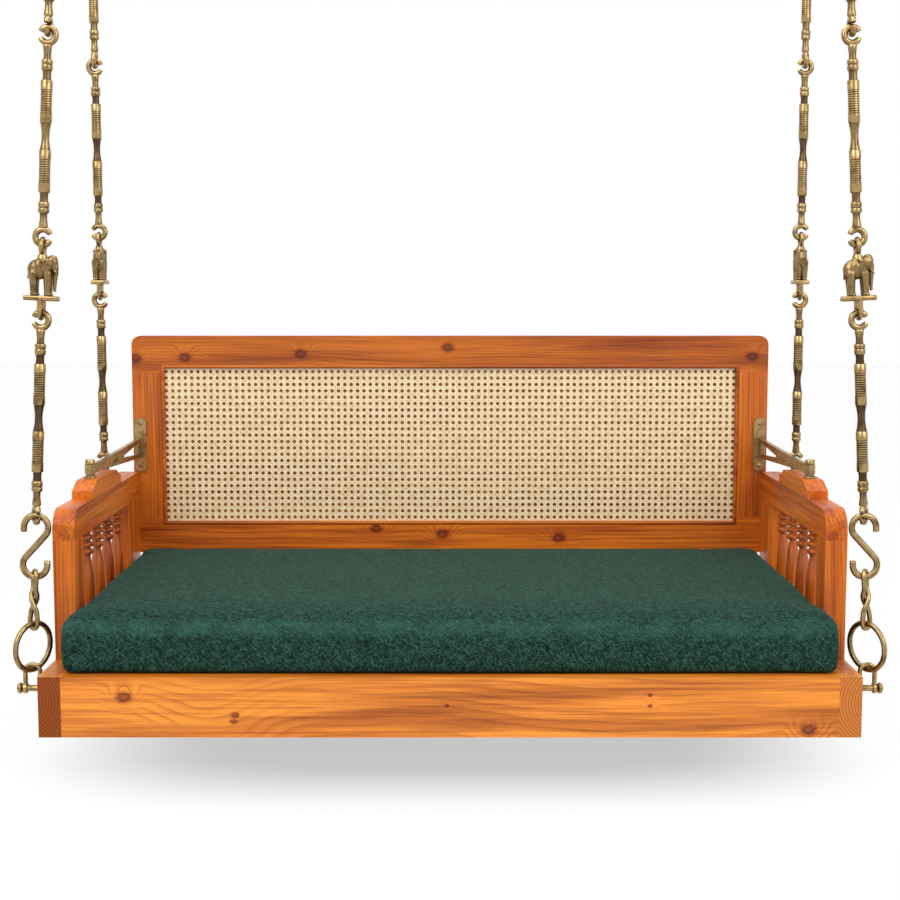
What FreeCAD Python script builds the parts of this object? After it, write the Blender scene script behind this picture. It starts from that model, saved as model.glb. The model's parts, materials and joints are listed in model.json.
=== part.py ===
import FreeCAD, Part
import math
import os

# Jhoola, a bench swing hung from four ornamental brass chains.
# Millimetres. +X is to the right of someone who faces the swing, +Y is the back, +Z is up.
# The origin is under the middle of the bench, on the plane of its lowest edges.

# Bench frame
seat_width = 1524.0
seat_depth = 762.0
rail_thickness = 42.0
rail_height = 114.0
deck_thickness = 18.0
cleat_width = 20.0
cleat_height = 22.0
cleat_end_gap = 40.0
batten_width = 45.0
batten_spread_share = 0.25

# Cushion
cushion_thickness = 112.0
cushion_front_inset = 15.0
cushion_back_inset = 17.0
cushion_crown = 4.0
cushion_crown_inset = 120.0
cushion_edge_inset = 13.0
cushion_draw_in = 6.0
cushion_belly_share = 0.4
cushion_shoulder_share = 0.84
cushion_corner = 16.0
soft_gap = 0.6

# Arms
arm_front_inset = 136.0
front_post_depth = 70.0
rear_post_depth = 96.0
arm_underside = 346.0
arm_rail_height = 59.0
arm_front_round = 42.0
crest_start = 297.0
crest_length = 269.0
crest_step = 16.0
crest_height = 33.0
crest_slope = 44.0
spindle_count = 4
spindle_first_share = 0.2435
spindle_pitch_share = 0.2043
spindle_radius = 15.0
spindle_shoulder_radius = 13.5
spindle_belly_share = 0.45
spindle_shoulder_share = 0.8
spindle_neck_radius = 7.5
spindle_ball_radius = 12.0
spindle_foot_radius = 11.0
spindle_neck_length = 22.0
spindle_ball_length = 24.0
spindle_bead_length = 9.0
spindle_foot_length = 16.0

# Back panel
back_thickness = 35.0
back_side_gap = 31.0
back_underside = 215.0
back_top = 718.0
back_member = 66.0
back_joint_drop = 18.0
back_corner_round = 20.0
bead_width = 8.0
bead_depth = 10.0
bead_proud = 2.0
bead_edge_round = 3.6
cane_thickness = 2.0
board_thickness = 6.0
back_cleat_height = 180.0

# Brackets between the back and the arms
bracket_plate_width = 27.0
bracket_plate_height = 125.0
bracket_plate_thickness = 6.0
bracket_plate_edge_gap = 4.0
bracket_pad_width = 13.0
bracket_pad_height = 64.0
bracket_pad_thickness = 3.0
web_thickness = 9.0
web_root_rise = 34.0
web_root_depth = 46.0
web_tip_rise = 9.0
web_tip_depth = 20.0
web_neck_from_eye = 80.0
web_slot_start_share = 0.08
web_slot_end_share = 0.40
web_slot_wall = 9.0
web_slot_tip_height = 4.0
web_oblong_share = 0.55
web_oblong_length = 22.0
web_oblong_radius = 4.0
bracket_eye_y = 370.0
bracket_eye_radius = 11.0
bracket_stem_radius = 6.0
bracket_base_radius = 14.5
bracket_base_height = 7.0
bracket_stem_over = 4.0
bracket_cap_radius = 8.0
bracket_cap_height = 5.0
bracket_screw_radius = 4.5
bracket_screw_height = 2.0
bracket_screw_inset = 14.0

# Hanging points on the bench
hang_inset = 60.0
pin_under_deck = 18.0
pin_radius = 6.0
pin_clearance = 0.3
spacer_radius = 11.0
spacer_length = 5.4
pin_head_radius = 11.0
pin_head_length = 12.0
nut_width = 19.0
nut_thickness = 10.0
nut_sides = 6
pin_tail = 3.0

# Chain hardware
wire_clearance = 0.3
wire_step_degrees = 30.0
wire_sides = 6
turned_flats = 8
turned_crossing_clearance = 0.75
shackle_wire_radius = 4.0
shackle_half_width = 14.0
shackle_rise = 41.3
shackle_pad_radius = 10.0
ring_outer_radius = 48.5
ring_wire_radius = 4.5
ring_turn = -60.0
link_height = 115.0
link_half_width = 14.0
link_wire_radius = 3.75
link_waist_offset = 4.4
link_waist_share = 1.7
hook_height = 126.0
hook_half_width = 27.5
hook_wire_radius = 5.5
hook_arc = 235.0
bar_eye_spacing = 362.0
bar_eye_radius = 14.0
bar_wire_radius = 6.0
bar_eye_gap_degrees = 44.0
collar_length = 20.0
waist_length = 17.0
sleeve_length = 76.0
centre_length = 49.0
collar_radius = 10.3
waist_radius = 8.0
sleeve_radius = 10.8
centre_radius = 7.0
adjuster_inner = 30.0
adjuster_wire_radius = 4.0
front_lean_x = 82.0

# Elephant between the lower bar and the two upper bars
platform_length = 69.0
platform_width = 30.0
platform_thickness = 9.5
platform_corner = 8.0
elephant_height = 75.0
elephant_length = 57.0
elephant_width = 27.0
elephant_shank = 32.0
elephant_loop_top = 28.5
elephant_loop_half_width = 15.0
elephant_ring_radius = 13.0
elephant_saddle_length = 16.0
elephant_saddle_drop = 9.0
elephant_ear_thickness = 3.0
elephant_wire_radius = 4.5

# Ceiling fixings
ceiling_eye_radius = 16.0
ceiling_eye_wire_radius = 5.0
ceiling_shank_radius = 7.0
ceiling_shank_length = 16.0
ceiling_plate_radius = 50.0
ceiling_plate_thickness = 8.0
ceiling_hole_circle_radius = 37.0
ceiling_hole_radius = 3.5
ceiling_hole_count = 3

# Derived places
cut_overrun = 5.0
half_width = seat_width / 2
rail_inner_x = half_width - rail_thickness
overall_depth = seat_depth + back_thickness
front_y = -overall_depth / 2
back_face_y = front_y + seat_depth
deck_underside = rail_height - deck_thickness
pin_height = deck_underside - pin_under_deck
shackle_inner_top = pin_height + shackle_rise
arm_x = half_width - rail_thickness / 2
arm_top = arm_underside + arm_rail_height
crest_top = arm_top + crest_height
bracket_plate_underside = arm_top + soft_gap
web_root_low = arm_top + web_root_rise
web_root_high = web_root_low + web_root_depth
web_tip_low = crest_top + web_tip_rise
web_tip_high = web_tip_low + web_tip_depth
back_half_width = half_width - back_side_gap
bracket_plate_centre_x = back_half_width - bracket_plate_edge_gap - bracket_plate_width / 2
opening_half_width = back_half_width - back_member
opening_low = back_underside + back_member
opening_high = back_top - back_member
leg_inner_x = half_width + spacer_length + 2 * pin_clearance
pin_x = leg_inner_x + shackle_wire_radius + shackle_half_width
hang_y = {"front": front_y + hang_inset, "rear": back_face_y - hang_inset}
side_signs = {"left": -1, "right": 1}

X_AXIS = FreeCAD.Vector(1, 0, 0)
Y_AXIS = FreeCAD.Vector(0, 1, 0)
Z_AXIS = FreeCAD.Vector(0, 0, 1)


def at(x, y, z):
    return FreeCAD.Vector(x, y, z)


def box(x_range, y_range, z_range):
    """A block between two values along each axis, given in either order."""
    low = [min(pair) for pair in (x_range, y_range, z_range)]
    size = [abs(pair[1] - pair[0]) for pair in (x_range, y_range, z_range)]
    return Part.makeBox(size[0], size[1], size[2], at(low[0], low[1], low[2]))


def polygon_prism(points, direction):
    """A prism on a closed outline of straight edges."""
    outline = Part.makePolygon(list(points) + [points[0]])
    return Part.Face(outline).extrude(direction)


def arc_through(start, middle, end):
    return Part.Arc(start, middle, end).toShape()


def line(start, end):
    return Part.LineSegment(start, end).toShape()


def solid_between(sections, closed=False):
    """A solid whose faces join matching corners of successive flat outlines."""
    count = len(sections[0])
    faces = []
    pairs = list(zip(sections, sections[1:]))
    if closed:
        pairs.append((sections[-1], sections[0]))
    else:
        faces.append(Part.Face(Part.makePolygon(list(sections[0]) + [sections[0][0]])))
        faces.append(Part.Face(Part.makePolygon(list(sections[-1]) + [sections[-1][0]])))
    for lower, upper in pairs:
        for index in range(count):
            after = (index + 1) % count
            corners = [lower[index], lower[after], upper[after], upper[index], lower[index]]
            faces.append(Part.Face(Part.makePolygon(corners)))
    solid = Part.makeSolid(Part.makeShell(faces))
    if solid.Volume < 0:
        solid.reverse()
    return solid


def turned(profile, base=None):
    """A turned piece about +Z through (radius, height) points, worked in flats round its axis."""
    base = base or at(0, 0, 0)
    sections = []
    for radius, height in profile:
        outline = []
        for index in range(turned_flats):
            angle = 2 * math.pi * (index + 0.5) / turned_flats
            outline.append(base + at(radius * math.cos(angle), radius * math.sin(angle), height))
        sections.append(outline)
    return solid_between(sections)


def rod(radius, length, base, direction, flats=0):
    """A round in flats along an axis, its flats or, for a bore, its corners outside the radius."""
    sides = flats or turned_flats
    reach = radius / math.cos(math.pi / sides) if flats else radius
    across = Z_AXIS if abs(direction.z) < abs(direction.x) + abs(direction.y) else X_AXIS
    other = direction.cross(across)
    outline = []
    for index in range(sides):
        angle = 2 * math.pi * (index + 0.5) / sides
        outline.append(base + across * (reach * math.cos(angle)) + other * (reach * math.sin(angle)))
    return polygon_prism(outline, direction * length)


def bore(radius, length, base, direction):
    """A hole in flats that clears a round of the given radius."""
    return rod(radius, length, base, direction, turned_flats)


def cylinder(radius, length, base, direction):
    return Part.makeCylinder(radius, length, base, direction)


def joined(shapes):
    """Several overlapping solids made into one."""
    shape = shapes[0].fuse(shapes[1:]).removeSplitter()
    return shape.Solids[0] if len(shape.Solids) == 1 else shape


def mirrored(shape):
    return shape.mirror(at(0, 0, 0), X_AXIS)


def export(node, shapes):
    """One file per piece or per set of like pieces."""
    solids = []
    for shape in shapes:
        solids.extend(shape.Solids)
    whole = solids[0] if len(solids) == 1 else Part.makeCompound(solids)
    whole.exportStep(f"parts/{node}.step")


def export_pair(node, shape_on_right):
    """A piece of the +X side and its mirror image on the other side."""
    shapes = shape_on_right if isinstance(shape_on_right, list) else [shape_on_right]
    export(f"{node}_right", shapes)
    export(f"{node}_left", [mirrored(shape) for shape in shapes])


# Seat


def build_seat():
    """Four rails with the deck let in flush between them, on cleats."""
    for node, y_start in (("front_rail", front_y), ("rear_rail", back_face_y - rail_thickness)):
        rail = box((-rail_inner_x, rail_inner_x), (y_start, y_start + rail_thickness), (0, rail_height))
        export(node, [rail])
    side = box((rail_inner_x, half_width), (front_y, back_face_y), (0, rail_height))
    for y_pin in hang_y.values():
        start = at(rail_inner_x, y_pin, pin_height)
        side = side.cut(bore(pin_radius + pin_clearance, rail_thickness, start, X_AXIS))
    export_pair("side_rail", side)
    deck_front = front_y + rail_thickness
    deck_back = back_face_y - rail_thickness
    deck = box((-rail_inner_x, rail_inner_x), (deck_front, deck_back), (deck_underside, rail_height))
    export("seat_deck", [deck])
    export("deck_cleats", deck_cleats(deck_front, deck_back))


def deck_cleats(deck_front, deck_back):
    """Cleats along the front and rear rails, and battens across between them."""
    end_x = rail_inner_x - cleat_end_gap
    levels = (deck_underside - cleat_height, deck_underside)
    inner = (deck_front + cleat_width, deck_back - cleat_width)
    cleats = [
        box((-end_x, end_x), (deck_front, inner[0]), levels),
        box((-end_x, end_x), (inner[1], deck_back), levels),
    ]
    for share in (-batten_spread_share, 0, batten_spread_share):
        middle = share * seat_width
        cleats.append(box((middle - batten_width / 2, middle + batten_width / 2), inner, levels))
    return cleats


def cushion_section(inset, level, corner):
    """One level of the cushion: straight sides joined by round corners, all under a half circle."""
    half = rail_inner_x - soft_gap - inset
    front = front_y + cushion_front_inset + inset
    back = back_face_y - cushion_back_inset - inset
    middle_y = (front + back) / 2
    half_y = (back - front) / 2
    bend = corner * (1 - math.sqrt(0.5))
    edges = []
    corners = ((1, -1), (1, 1), (-1, 1), (-1, -1))
    for index, (sx, sy) in enumerate(corners):
        next_x, next_y = corners[(index + 1) % len(corners)]
        diagonal = at(sx * (half - bend), middle_y + sy * (half_y - bend), level)
        beside_x = at(sx * (half - corner), middle_y + sy * half_y, level)
        beside_y = at(sx * half, middle_y + sy * (half_y - corner), level)
        first, last = (beside_x, beside_y) if sx * sy < 0 else (beside_y, beside_x)
        edges.append(arc_through(first, diagonal, last))
        if next_x == sx:
            edges.append(line(last, at(sx * half, middle_y + next_y * (half_y - corner), level)))
        else:
            edges.append(line(last, at(next_x * (half - corner), middle_y + sy * half_y, level)))
    return Part.Wire(edges)


def build_cushion():
    """A boxed cushion whose sides draw in above and below and whose top is crowned."""
    base = rail_height + soft_gap
    levels = (
        (cushion_draw_in, 0),
        (cushion_draw_in / 3, cushion_draw_in),
        (0, cushion_thickness * cushion_belly_share),
        (cushion_draw_in / 3, cushion_thickness * cushion_shoulder_share),
        (cushion_edge_inset, cushion_thickness - cushion_crown),
        (cushion_crown_inset, cushion_thickness),
    )
    sections = [cushion_section(inset, base + height, cushion_corner) for inset, height in levels]
    body = Part.makeLoft(sections, True, True)
    export("seat_cushion", [body])


# Arms


def arm_rail():
    """The arm rail with its front corner rounded over."""
    front = front_y + arm_front_inset
    bend = arm_front_round * (1 - math.sqrt(0.5))
    x = rail_inner_x
    edges = [
        line(at(x, front, arm_underside), at(x, front, arm_top - arm_front_round)),
        arc_through(
            at(x, front, arm_top - arm_front_round),
            at(x, front + bend, arm_top - bend),
            at(x, front + arm_front_round, arm_top),
        ),
        line(at(x, front + arm_front_round, arm_top), at(x, back_face_y, arm_top)),
        line(at(x, back_face_y, arm_top), at(x, back_face_y, arm_underside)),
        line(at(x, back_face_y, arm_underside), at(x, front, arm_underside)),
    ]
    return Part.Face(Part.Wire(edges)).extrude(X_AXIS * rail_thickness)


def arm_crest():
    """The raised block on the arm: a short step at each end, then a slope to a flat top."""
    start = front_y + crest_start
    end = start + crest_length
    x = rail_inner_x
    outline = [
        at(x, start, arm_top),
        at(x, start, arm_top + crest_step),
        at(x, start + crest_slope, crest_top),
        at(x, end - crest_slope, crest_top),
        at(x, end, arm_top + crest_step),
        at(x, end, arm_top),
    ]
    return polygon_prism(outline, X_AXIS * rail_thickness)


def spindle(base):
    """A turned vase baluster: foot, long body, then ball and beads under a neck."""
    height = arm_underside - rail_height
    ball_top = height - spindle_neck_length
    ball_low = ball_top - spindle_ball_length
    bead_low = ball_low - 2 * spindle_bead_length
    body = bead_low - spindle_foot_length
    body_wide = spindle_foot_length + body * spindle_belly_share
    body_shoulder = spindle_foot_length + body * spindle_shoulder_share
    profile = [
        (spindle_foot_radius, 0),
        (spindle_neck_radius, spindle_foot_length),
        (spindle_radius, body_wide),
        (spindle_shoulder_radius, body_shoulder),
        (spindle_neck_radius, bead_low),
        (spindle_ball_radius, bead_low + spindle_bead_length),
        (spindle_neck_radius, ball_low),
        (spindle_radius, (ball_low + ball_top) / 2),
        (spindle_neck_radius, ball_top),
        (spindle_foot_radius, height),
    ]
    return turned(profile, base)


def build_arms():
    """Front and rear posts on each side rail, the arm rail, its crest and the spindles."""
    x_range = (rail_inner_x, half_width)
    post_levels = (rail_height, arm_underside)
    post_front = front_y + arm_front_inset
    export_pair("arm_front_post", box(x_range, (post_front, post_front + front_post_depth), post_levels))
    export_pair("arm_rear_post", box(x_range, (back_face_y - rear_post_depth, back_face_y), post_levels))
    export_pair("arm_rail", arm_rail())
    export_pair("arm_crest", arm_crest())
    opening_start = post_front + front_post_depth
    opening = back_face_y - rear_post_depth - opening_start
    first = opening_start + spindle_first_share * opening
    pitch = spindle_pitch_share * opening
    places = [first + index * pitch for index in range(spindle_count)]
    export_pair("arm_spindles", [spindle(at(arm_x, y, rail_height)) for y in places])


# Back panel


def panel_rail(outer, inner, joint):
    """A rail that is deeper at its ends, where the stiles meet it, with rounded outer corners."""
    toward = 1 if outer > inner else -1
    y = back_face_y
    bend = back_corner_round * (1 - math.sqrt(0.5))
    side = back_half_width
    corner_z = outer - toward * back_corner_round
    corner_x = side - back_corner_round
    edges = [
        line(at(-side, y, joint), at(-side, y, corner_z)),
        arc_through(
            at(-side, y, corner_z), at(-side + bend, y, outer - toward * bend), at(-corner_x, y, outer)
        ),
        line(at(-corner_x, y, outer), at(corner_x, y, outer)),
        arc_through(
            at(corner_x, y, outer), at(side - bend, y, outer - toward * bend), at(side, y, corner_z)
        ),
        line(at(side, y, corner_z), at(side, y, joint)),
        line(at(side, y, joint), at(opening_half_width, y, joint)),
        line(at(opening_half_width, y, joint), at(opening_half_width, y, inner)),
        line(at(opening_half_width, y, inner), at(-opening_half_width, y, inner)),
        line(at(-opening_half_width, y, inner), at(-opening_half_width, y, joint)),
        line(at(-opening_half_width, y, joint), at(-side, y, joint)),
    ]
    return Part.Face(Part.Wire(edges)).extrude(Y_AXIS * back_thickness)


def opening_block(inset, y_start, depth):
    """A block that fits the panel's opening, set in from its edge."""
    half = opening_half_width - inset
    levels = (opening_low + inset, opening_high - inset)
    return box((-half, half), (y_start, y_start + depth), levels)


def bead_strip(half_length, edge_x, turn_degrees, centre_z):
    """One strip of the bead, rounded in front and mitred at both ends."""
    front = back_face_y - bead_proud
    back = front + bead_depth
    outer = edge_x
    inner = edge_x - bead_width
    middle = (outer + inner) / 2
    z = centre_z - half_length
    edges = [
        line(at(outer, front + bead_edge_round, z), at(outer, back, z)),
        line(at(outer, back, z), at(inner, back, z)),
        line(at(inner, back, z), at(inner, front + bead_edge_round, z)),
        arc_through(
            at(inner, front + bead_edge_round, z),
            at(middle, front, z),
            at(outer, front + bead_edge_round, z),
        ),
    ]
    strip = Part.Face(Part.Wire(edges)).extrude(Z_AXIS * (2 * half_length))
    for end in (-1, 1):
        corner_z = centre_z + end * half_length
        wedge = polygon_prism(
            [
                at(outer, front - cut_overrun, corner_z),
                at(inner - cut_overrun, front - cut_overrun, corner_z - end * (bead_width + cut_overrun)),
                at(inner - cut_overrun, front - cut_overrun, corner_z + end * cut_overrun),
                at(outer, front - cut_overrun, corner_z + end * cut_overrun),
            ],
            Y_AXIS * (bead_depth + 2 * cut_overrun),
        )
        strip = strip.cut(wedge)
    strip.rotate(at(0, 0, centre_z), Y_AXIS, turn_degrees)
    return strip


def cane_bead():
    """Four rounded strips, mitred at the corners, over the edge of the cane."""
    centre_z = (opening_low + opening_high) / 2
    half_height = (opening_high - opening_low) / 2
    upright = [bead_strip(half_height, opening_half_width, degrees, centre_z) for degrees in (0, 180)]
    level = [bead_strip(opening_half_width, half_height, degrees, centre_z) for degrees in (90, 270)]
    return upright + level


def build_back():
    """The framed back: rails, stiles, cane on a backing board, bead and hidden cleats."""
    top_joint = opening_high - back_joint_drop
    low_joint = opening_low + back_joint_drop
    export("back_top_rail", [panel_rail(back_top, opening_high, top_joint)])
    export("back_bottom_rail", [panel_rail(back_underside, opening_low, low_joint)])
    y_range = (back_face_y, back_face_y + back_thickness)
    export_pair("back_stile", box((opening_half_width, back_half_width), y_range, (low_joint, top_joint)))
    cane_y = back_face_y - bead_proud + bead_depth
    export("cane_bead", cane_bead())
    export("cane_panel", [opening_block(0, cane_y, cane_thickness)])
    export("back_board", [opening_block(0, cane_y + cane_thickness, board_thickness)])
    cleat = box((back_half_width, half_width), y_range, (back_underside, back_underside + back_cleat_height))
    export("back_cleats", [cleat, mirrored(cleat)])


# Brackets


def bracket():
    """A cast brace: a plate with a raised pad, a pierced web and the eye over the arm's stem."""
    plate_z = bracket_plate_underside
    round_radius = bracket_plate_width / 2
    plate_y = back_face_y - bracket_plate_thickness
    x = bracket_plate_centre_x
    plate = box(
        (x - round_radius, x + round_radius),
        (plate_y, back_face_y),
        (plate_z + round_radius, plate_z + bracket_plate_height - round_radius),
    )
    ends = [
        cylinder(round_radius, bracket_plate_thickness, at(x, plate_y, z), Y_AXIS)
        for z in (plate_z + round_radius, plate_z + bracket_plate_height - round_radius)
    ]
    pad_middle = plate_z + bracket_plate_height / 2
    pad = box(
        (x - bracket_pad_width / 2, x + bracket_pad_width / 2),
        (plate_y - bracket_pad_thickness, plate_y),
        (pad_middle - bracket_pad_height / 2, pad_middle + bracket_pad_height / 2),
    )
    eye_y = front_y + bracket_eye_y
    root = at(x, plate_y + bracket_plate_thickness / 2, 0)
    tip = at(arm_x, eye_y, 0)
    along = tip - root
    length = along.Length
    web_profile = [
        at(0, 0, web_root_low),
        at(0, 0, web_root_high),
        at(0, web_neck_start(length), web_tip_high),
        at(0, length, web_tip_high),
        at(0, length, web_tip_low),
        at(0, web_neck_start(length), web_tip_low),
    ]
    web = polygon_prism(web_profile, X_AXIS * web_thickness)
    web = cut_web(web, length)
    web.translate(at(-web_thickness / 2, 0, 0))
    angle = math.degrees(math.atan2(-along.x, along.y))
    web.rotate(at(0, 0, 0), Z_AXIS, angle)
    web.translate(root)
    eye = rod(bracket_eye_radius, web_tip_high - web_tip_low, at(arm_x, eye_y, web_tip_low), Z_AXIS)
    body = joined([plate, pad, web, eye] + ends)
    hole = bore(
        bracket_stem_radius + pin_clearance,
        web_tip_high - web_tip_low + 2 * cut_overrun,
        at(arm_x, eye_y, web_tip_low - cut_overrun),
        Z_AXIS,
    )
    return body.cut(hole)


def web_neck_start(length):
    return length - web_neck_from_eye


def cut_web(web, length):
    """The tapering opening near the plate and the round-ended slot beyond it."""
    middle = (web_root_low + web_root_high) / 2
    tip_middle = (web_tip_low + web_tip_high) / 2
    start = length * web_slot_start_share
    end = length * web_slot_end_share
    wide = (web_root_high - web_root_low) / 2 - web_slot_wall
    narrow = web_slot_tip_height / 2
    reach = X_AXIS * (web_thickness + 2 * cut_overrun)
    outline = [
        at(-cut_overrun, start, middle - wide),
        at(-cut_overrun, start, middle + wide),
        at(-cut_overrun, end, tip_middle + narrow),
        at(-cut_overrun, end, tip_middle - narrow),
    ]
    cuts = [polygon_prism(outline, reach)]
    near = length * web_oblong_share
    far = near + web_oblong_length
    levels = (tip_middle - web_oblong_radius, tip_middle + web_oblong_radius)
    cuts.append(box((-cut_overrun, web_thickness + cut_overrun), (near, far), levels))
    for y in (near, far):
        cuts.append(rod(web_oblong_radius, reach.x, at(-cut_overrun, y, tip_middle), X_AXIS))
    return web.cut(cuts)


def bracket_post():
    """The turned boss on the crest, its stem and the cap that keeps the eye down."""
    base = at(arm_x, front_y + bracket_eye_y, crest_top)
    eye_over = web_tip_high + pin_clearance - crest_top
    top = eye_over + bracket_stem_over
    profile = [
        (bracket_base_radius, 0),
        (bracket_base_radius, bracket_base_height / 2),
        (bracket_stem_radius, web_tip_low - pin_clearance - crest_top),
        (bracket_stem_radius, eye_over),
        (bracket_cap_radius, eye_over),
        (bracket_stem_radius, top + bracket_cap_height),
    ]
    return turned(profile, base)


def bracket_screws():
    """A domed screw head near each end of a wall plate."""
    heads = []
    for z in (
        bracket_plate_underside + bracket_screw_inset,
        bracket_plate_underside + bracket_plate_height - bracket_screw_inset,
    ):
        head = rod(
            bracket_screw_radius,
            bracket_screw_height,
            at(bracket_plate_centre_x, back_face_y - bracket_plate_thickness - bracket_screw_height, z),
            Y_AXIS,
        )
        heads.append(head)
    return heads


def build_brackets():
    export_pair("bracket", bracket())
    export_pair("bracket_post", bracket_post())
    heads = bracket_screws()
    export("bracket_screws", heads + [mirrored(head) for head in heads])


# Hanging bolts on the bench


def hanging_bolt(y):
    """A bolt through the side rail and the shackle, with a domed head outside."""
    outer = pin_x + shackle_half_width + shackle_wire_radius + pin_clearance
    inner = rail_inner_x - nut_thickness - pin_tail
    profile = [
        (pin_radius, 0),
        (pin_radius, outer - inner),
        (pin_head_radius, outer - inner),
        (pin_head_radius, outer - inner + pin_head_length / 2),
        (pin_head_radius / 2, outer - inner + pin_head_length),
    ]
    bolt = turned(profile)
    bolt.rotate(at(0, 0, 0), Y_AXIS, 90)
    bolt.translate(at(inner, y, pin_height))
    return bolt


def ringed(outer, start_x, length, y):
    """A collar round a hanging bolt."""
    return outer.cut(bore(pin_radius + pin_clearance, length, at(start_x, y, pin_height), X_AXIS))


def hanging_nut(y):
    start_x = rail_inner_x - nut_thickness
    corner = nut_width / 2 / math.cos(math.pi / nut_sides)
    points = []
    for index in range(nut_sides):
        angle = 2 * math.pi * index / nut_sides
        points.append(at(start_x, y + corner * math.cos(angle), pin_height + corner * math.sin(angle)))
    return ringed(polygon_prism(points, X_AXIS * nut_thickness), start_x, nut_thickness, y)


def hanging_spacer(y):
    start_x = half_width + pin_clearance
    start = at(start_x, y, pin_height)
    return ringed(rod(spacer_radius, spacer_length, start, X_AXIS), start_x, spacer_length, y)


def build_hanging_bolts():
    for node, make in (
        ("pivot_bolts", hanging_bolt),
        ("pivot_nuts", hanging_nut),
        ("pivot_spacers", hanging_spacer),
    ):
        shapes = [make(y) for y in hang_y.values()]
        export(node, shapes + [mirrored(shape) for shape in shapes])


# Chain pieces, each made on the line X = 0, Y = 0 in its true height


def arc_stations(centre, radius, start, end, side=1):
    """Places along an arc in the XZ plane, each with the direction across the wire."""
    angles = [start]
    first_step = math.floor(start / wire_step_degrees) + 1
    last_step = math.ceil(end / wire_step_degrees) - 1
    angles.extend(step * wire_step_degrees for step in range(first_step, last_step + 1))
    angles.append(end)
    stations = []
    for degrees in angles:
        angle = math.radians(degrees)
        outward = at(math.cos(angle), 0, math.sin(angle))
        stations.append((centre + outward * radius, outward * side))
    return stations


def bent_wire(stations, wire, closed=False):
    """Six-sided stock along the stations, with a ridge on the inside for the next link."""
    sections = []
    for place, across in stations:
        outline = []
        for index in range(wire_sides):
            angle = 2 * math.pi * index / wire_sides
            outline.append(place + across * (wire * math.cos(angle)) + Y_AXIS * (wire * math.sin(angle)))
        sections.append(outline)
    return solid_between(sections, closed)


def wire_ring(centre, radius, wire, start=0.0, arc=360.0):
    """A ring, or with a smaller arc a hook, in the XZ plane."""
    if arc < 360:
        return bent_wire(arc_stations(centre, radius, start, start + arc), wire)
    return bent_wire(arc_stations(centre, radius, 0, 360)[:-1], wire, True)


def wire_bar(start, end, wire):
    """Straight six-sided stock between two points of the XZ plane."""
    across = (end - start).cross(Y_AXIS)
    across.normalize()
    return bent_wire([(start, across), (end, across)], wire)


def turn(shape, degrees):
    """Turn a chain piece about the chain's own line."""
    shape.rotate(at(0, 0, 0), Z_AXIS, degrees)
    return shape


def shackle():
    """An upright U whose legs end in pierced pads on the hanging bolt."""
    arch_z = shackle_inner_top - shackle_half_width + shackle_wire_radius
    arch = wire_ring(at(0, 0, arch_z), shackle_half_width, shackle_wire_radius, 0, 180)
    pieces = [arch]
    for side in (-1, 1):
        x = side * shackle_half_width
        pieces.append(wire_bar(at(x, 0, pin_height), at(x, 0, arch_z), shackle_wire_radius))
        pad_start = at(x - shackle_wire_radius, 0, pin_height)
        pieces.append(rod(shackle_pad_radius, 2 * shackle_wire_radius, pad_start, X_AXIS))
    body = joined(pieces)
    reach = shackle_half_width + shackle_wire_radius + cut_overrun
    hole = bore(pin_radius + pin_clearance, 2 * reach, at(-reach, 0, pin_height), X_AXIS)
    return body.cut(hole)


def link_loop(centre_z, waist_z, degrees):
    """One loop of the long link, from the waist round its end and back."""
    radius = link_half_width - link_wire_radius
    up = 1 if centre_z > waist_z else -1
    lean = math.degrees(math.asin(radius / abs(centre_z - waist_z)))
    middle = 90 * up
    half_turn = 90 + lean
    arc = arc_stations(at(0, 0, centre_z), radius, middle - half_turn, middle + half_turn)
    start, finish = (
        at(math.copysign(link_waist_offset, place.x), 0, waist_z) for place in (arc[0][0], arc[-1][0])
    )
    stations = [(start, arc[0][1])] + arc + [(finish, arc[-1][1])]
    return turn(bent_wire(stations, link_wire_radius), degrees)


def figure_link(low_centre_z, lower_turn, upper_turn):
    """A long link pinched at the waist, its two loops turned to the pieces they hold."""
    rise = link_height / 2 - link_half_width
    waist_z = low_centre_z + rise
    lower = link_loop(low_centre_z, waist_z, lower_turn)
    upper = link_loop(low_centre_z + 2 * rise, waist_z, upper_turn)
    half_block = link_wire_radius * link_waist_share
    block_low = at(0, 0, waist_z - half_block)
    block = wire_bar(block_low, block_low + at(0, 0, 2 * half_block), half_block)
    return joined([lower, upper, block])


def s_hook(low_centre_z):
    """Two hooks of one bar joined by a straight stretch that crosses the chain's line."""
    radius = hook_half_width - hook_wire_radius
    spacing = hook_height - 2 * hook_half_width
    drop = math.degrees(math.asin(2 * radius / spacing))
    lower = at(0, 0, low_centre_z)
    upper = at(0, 0, low_centre_z + spacing)
    low_arc = arc_stations(lower, radius, 180 - drop, 180 - drop + hook_arc, -1)
    high_arc = arc_stations(upper, radius, -drop, hook_arc - drop)
    return bent_wire(list(reversed(low_arc)) + high_arc, hook_wire_radius)


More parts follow.
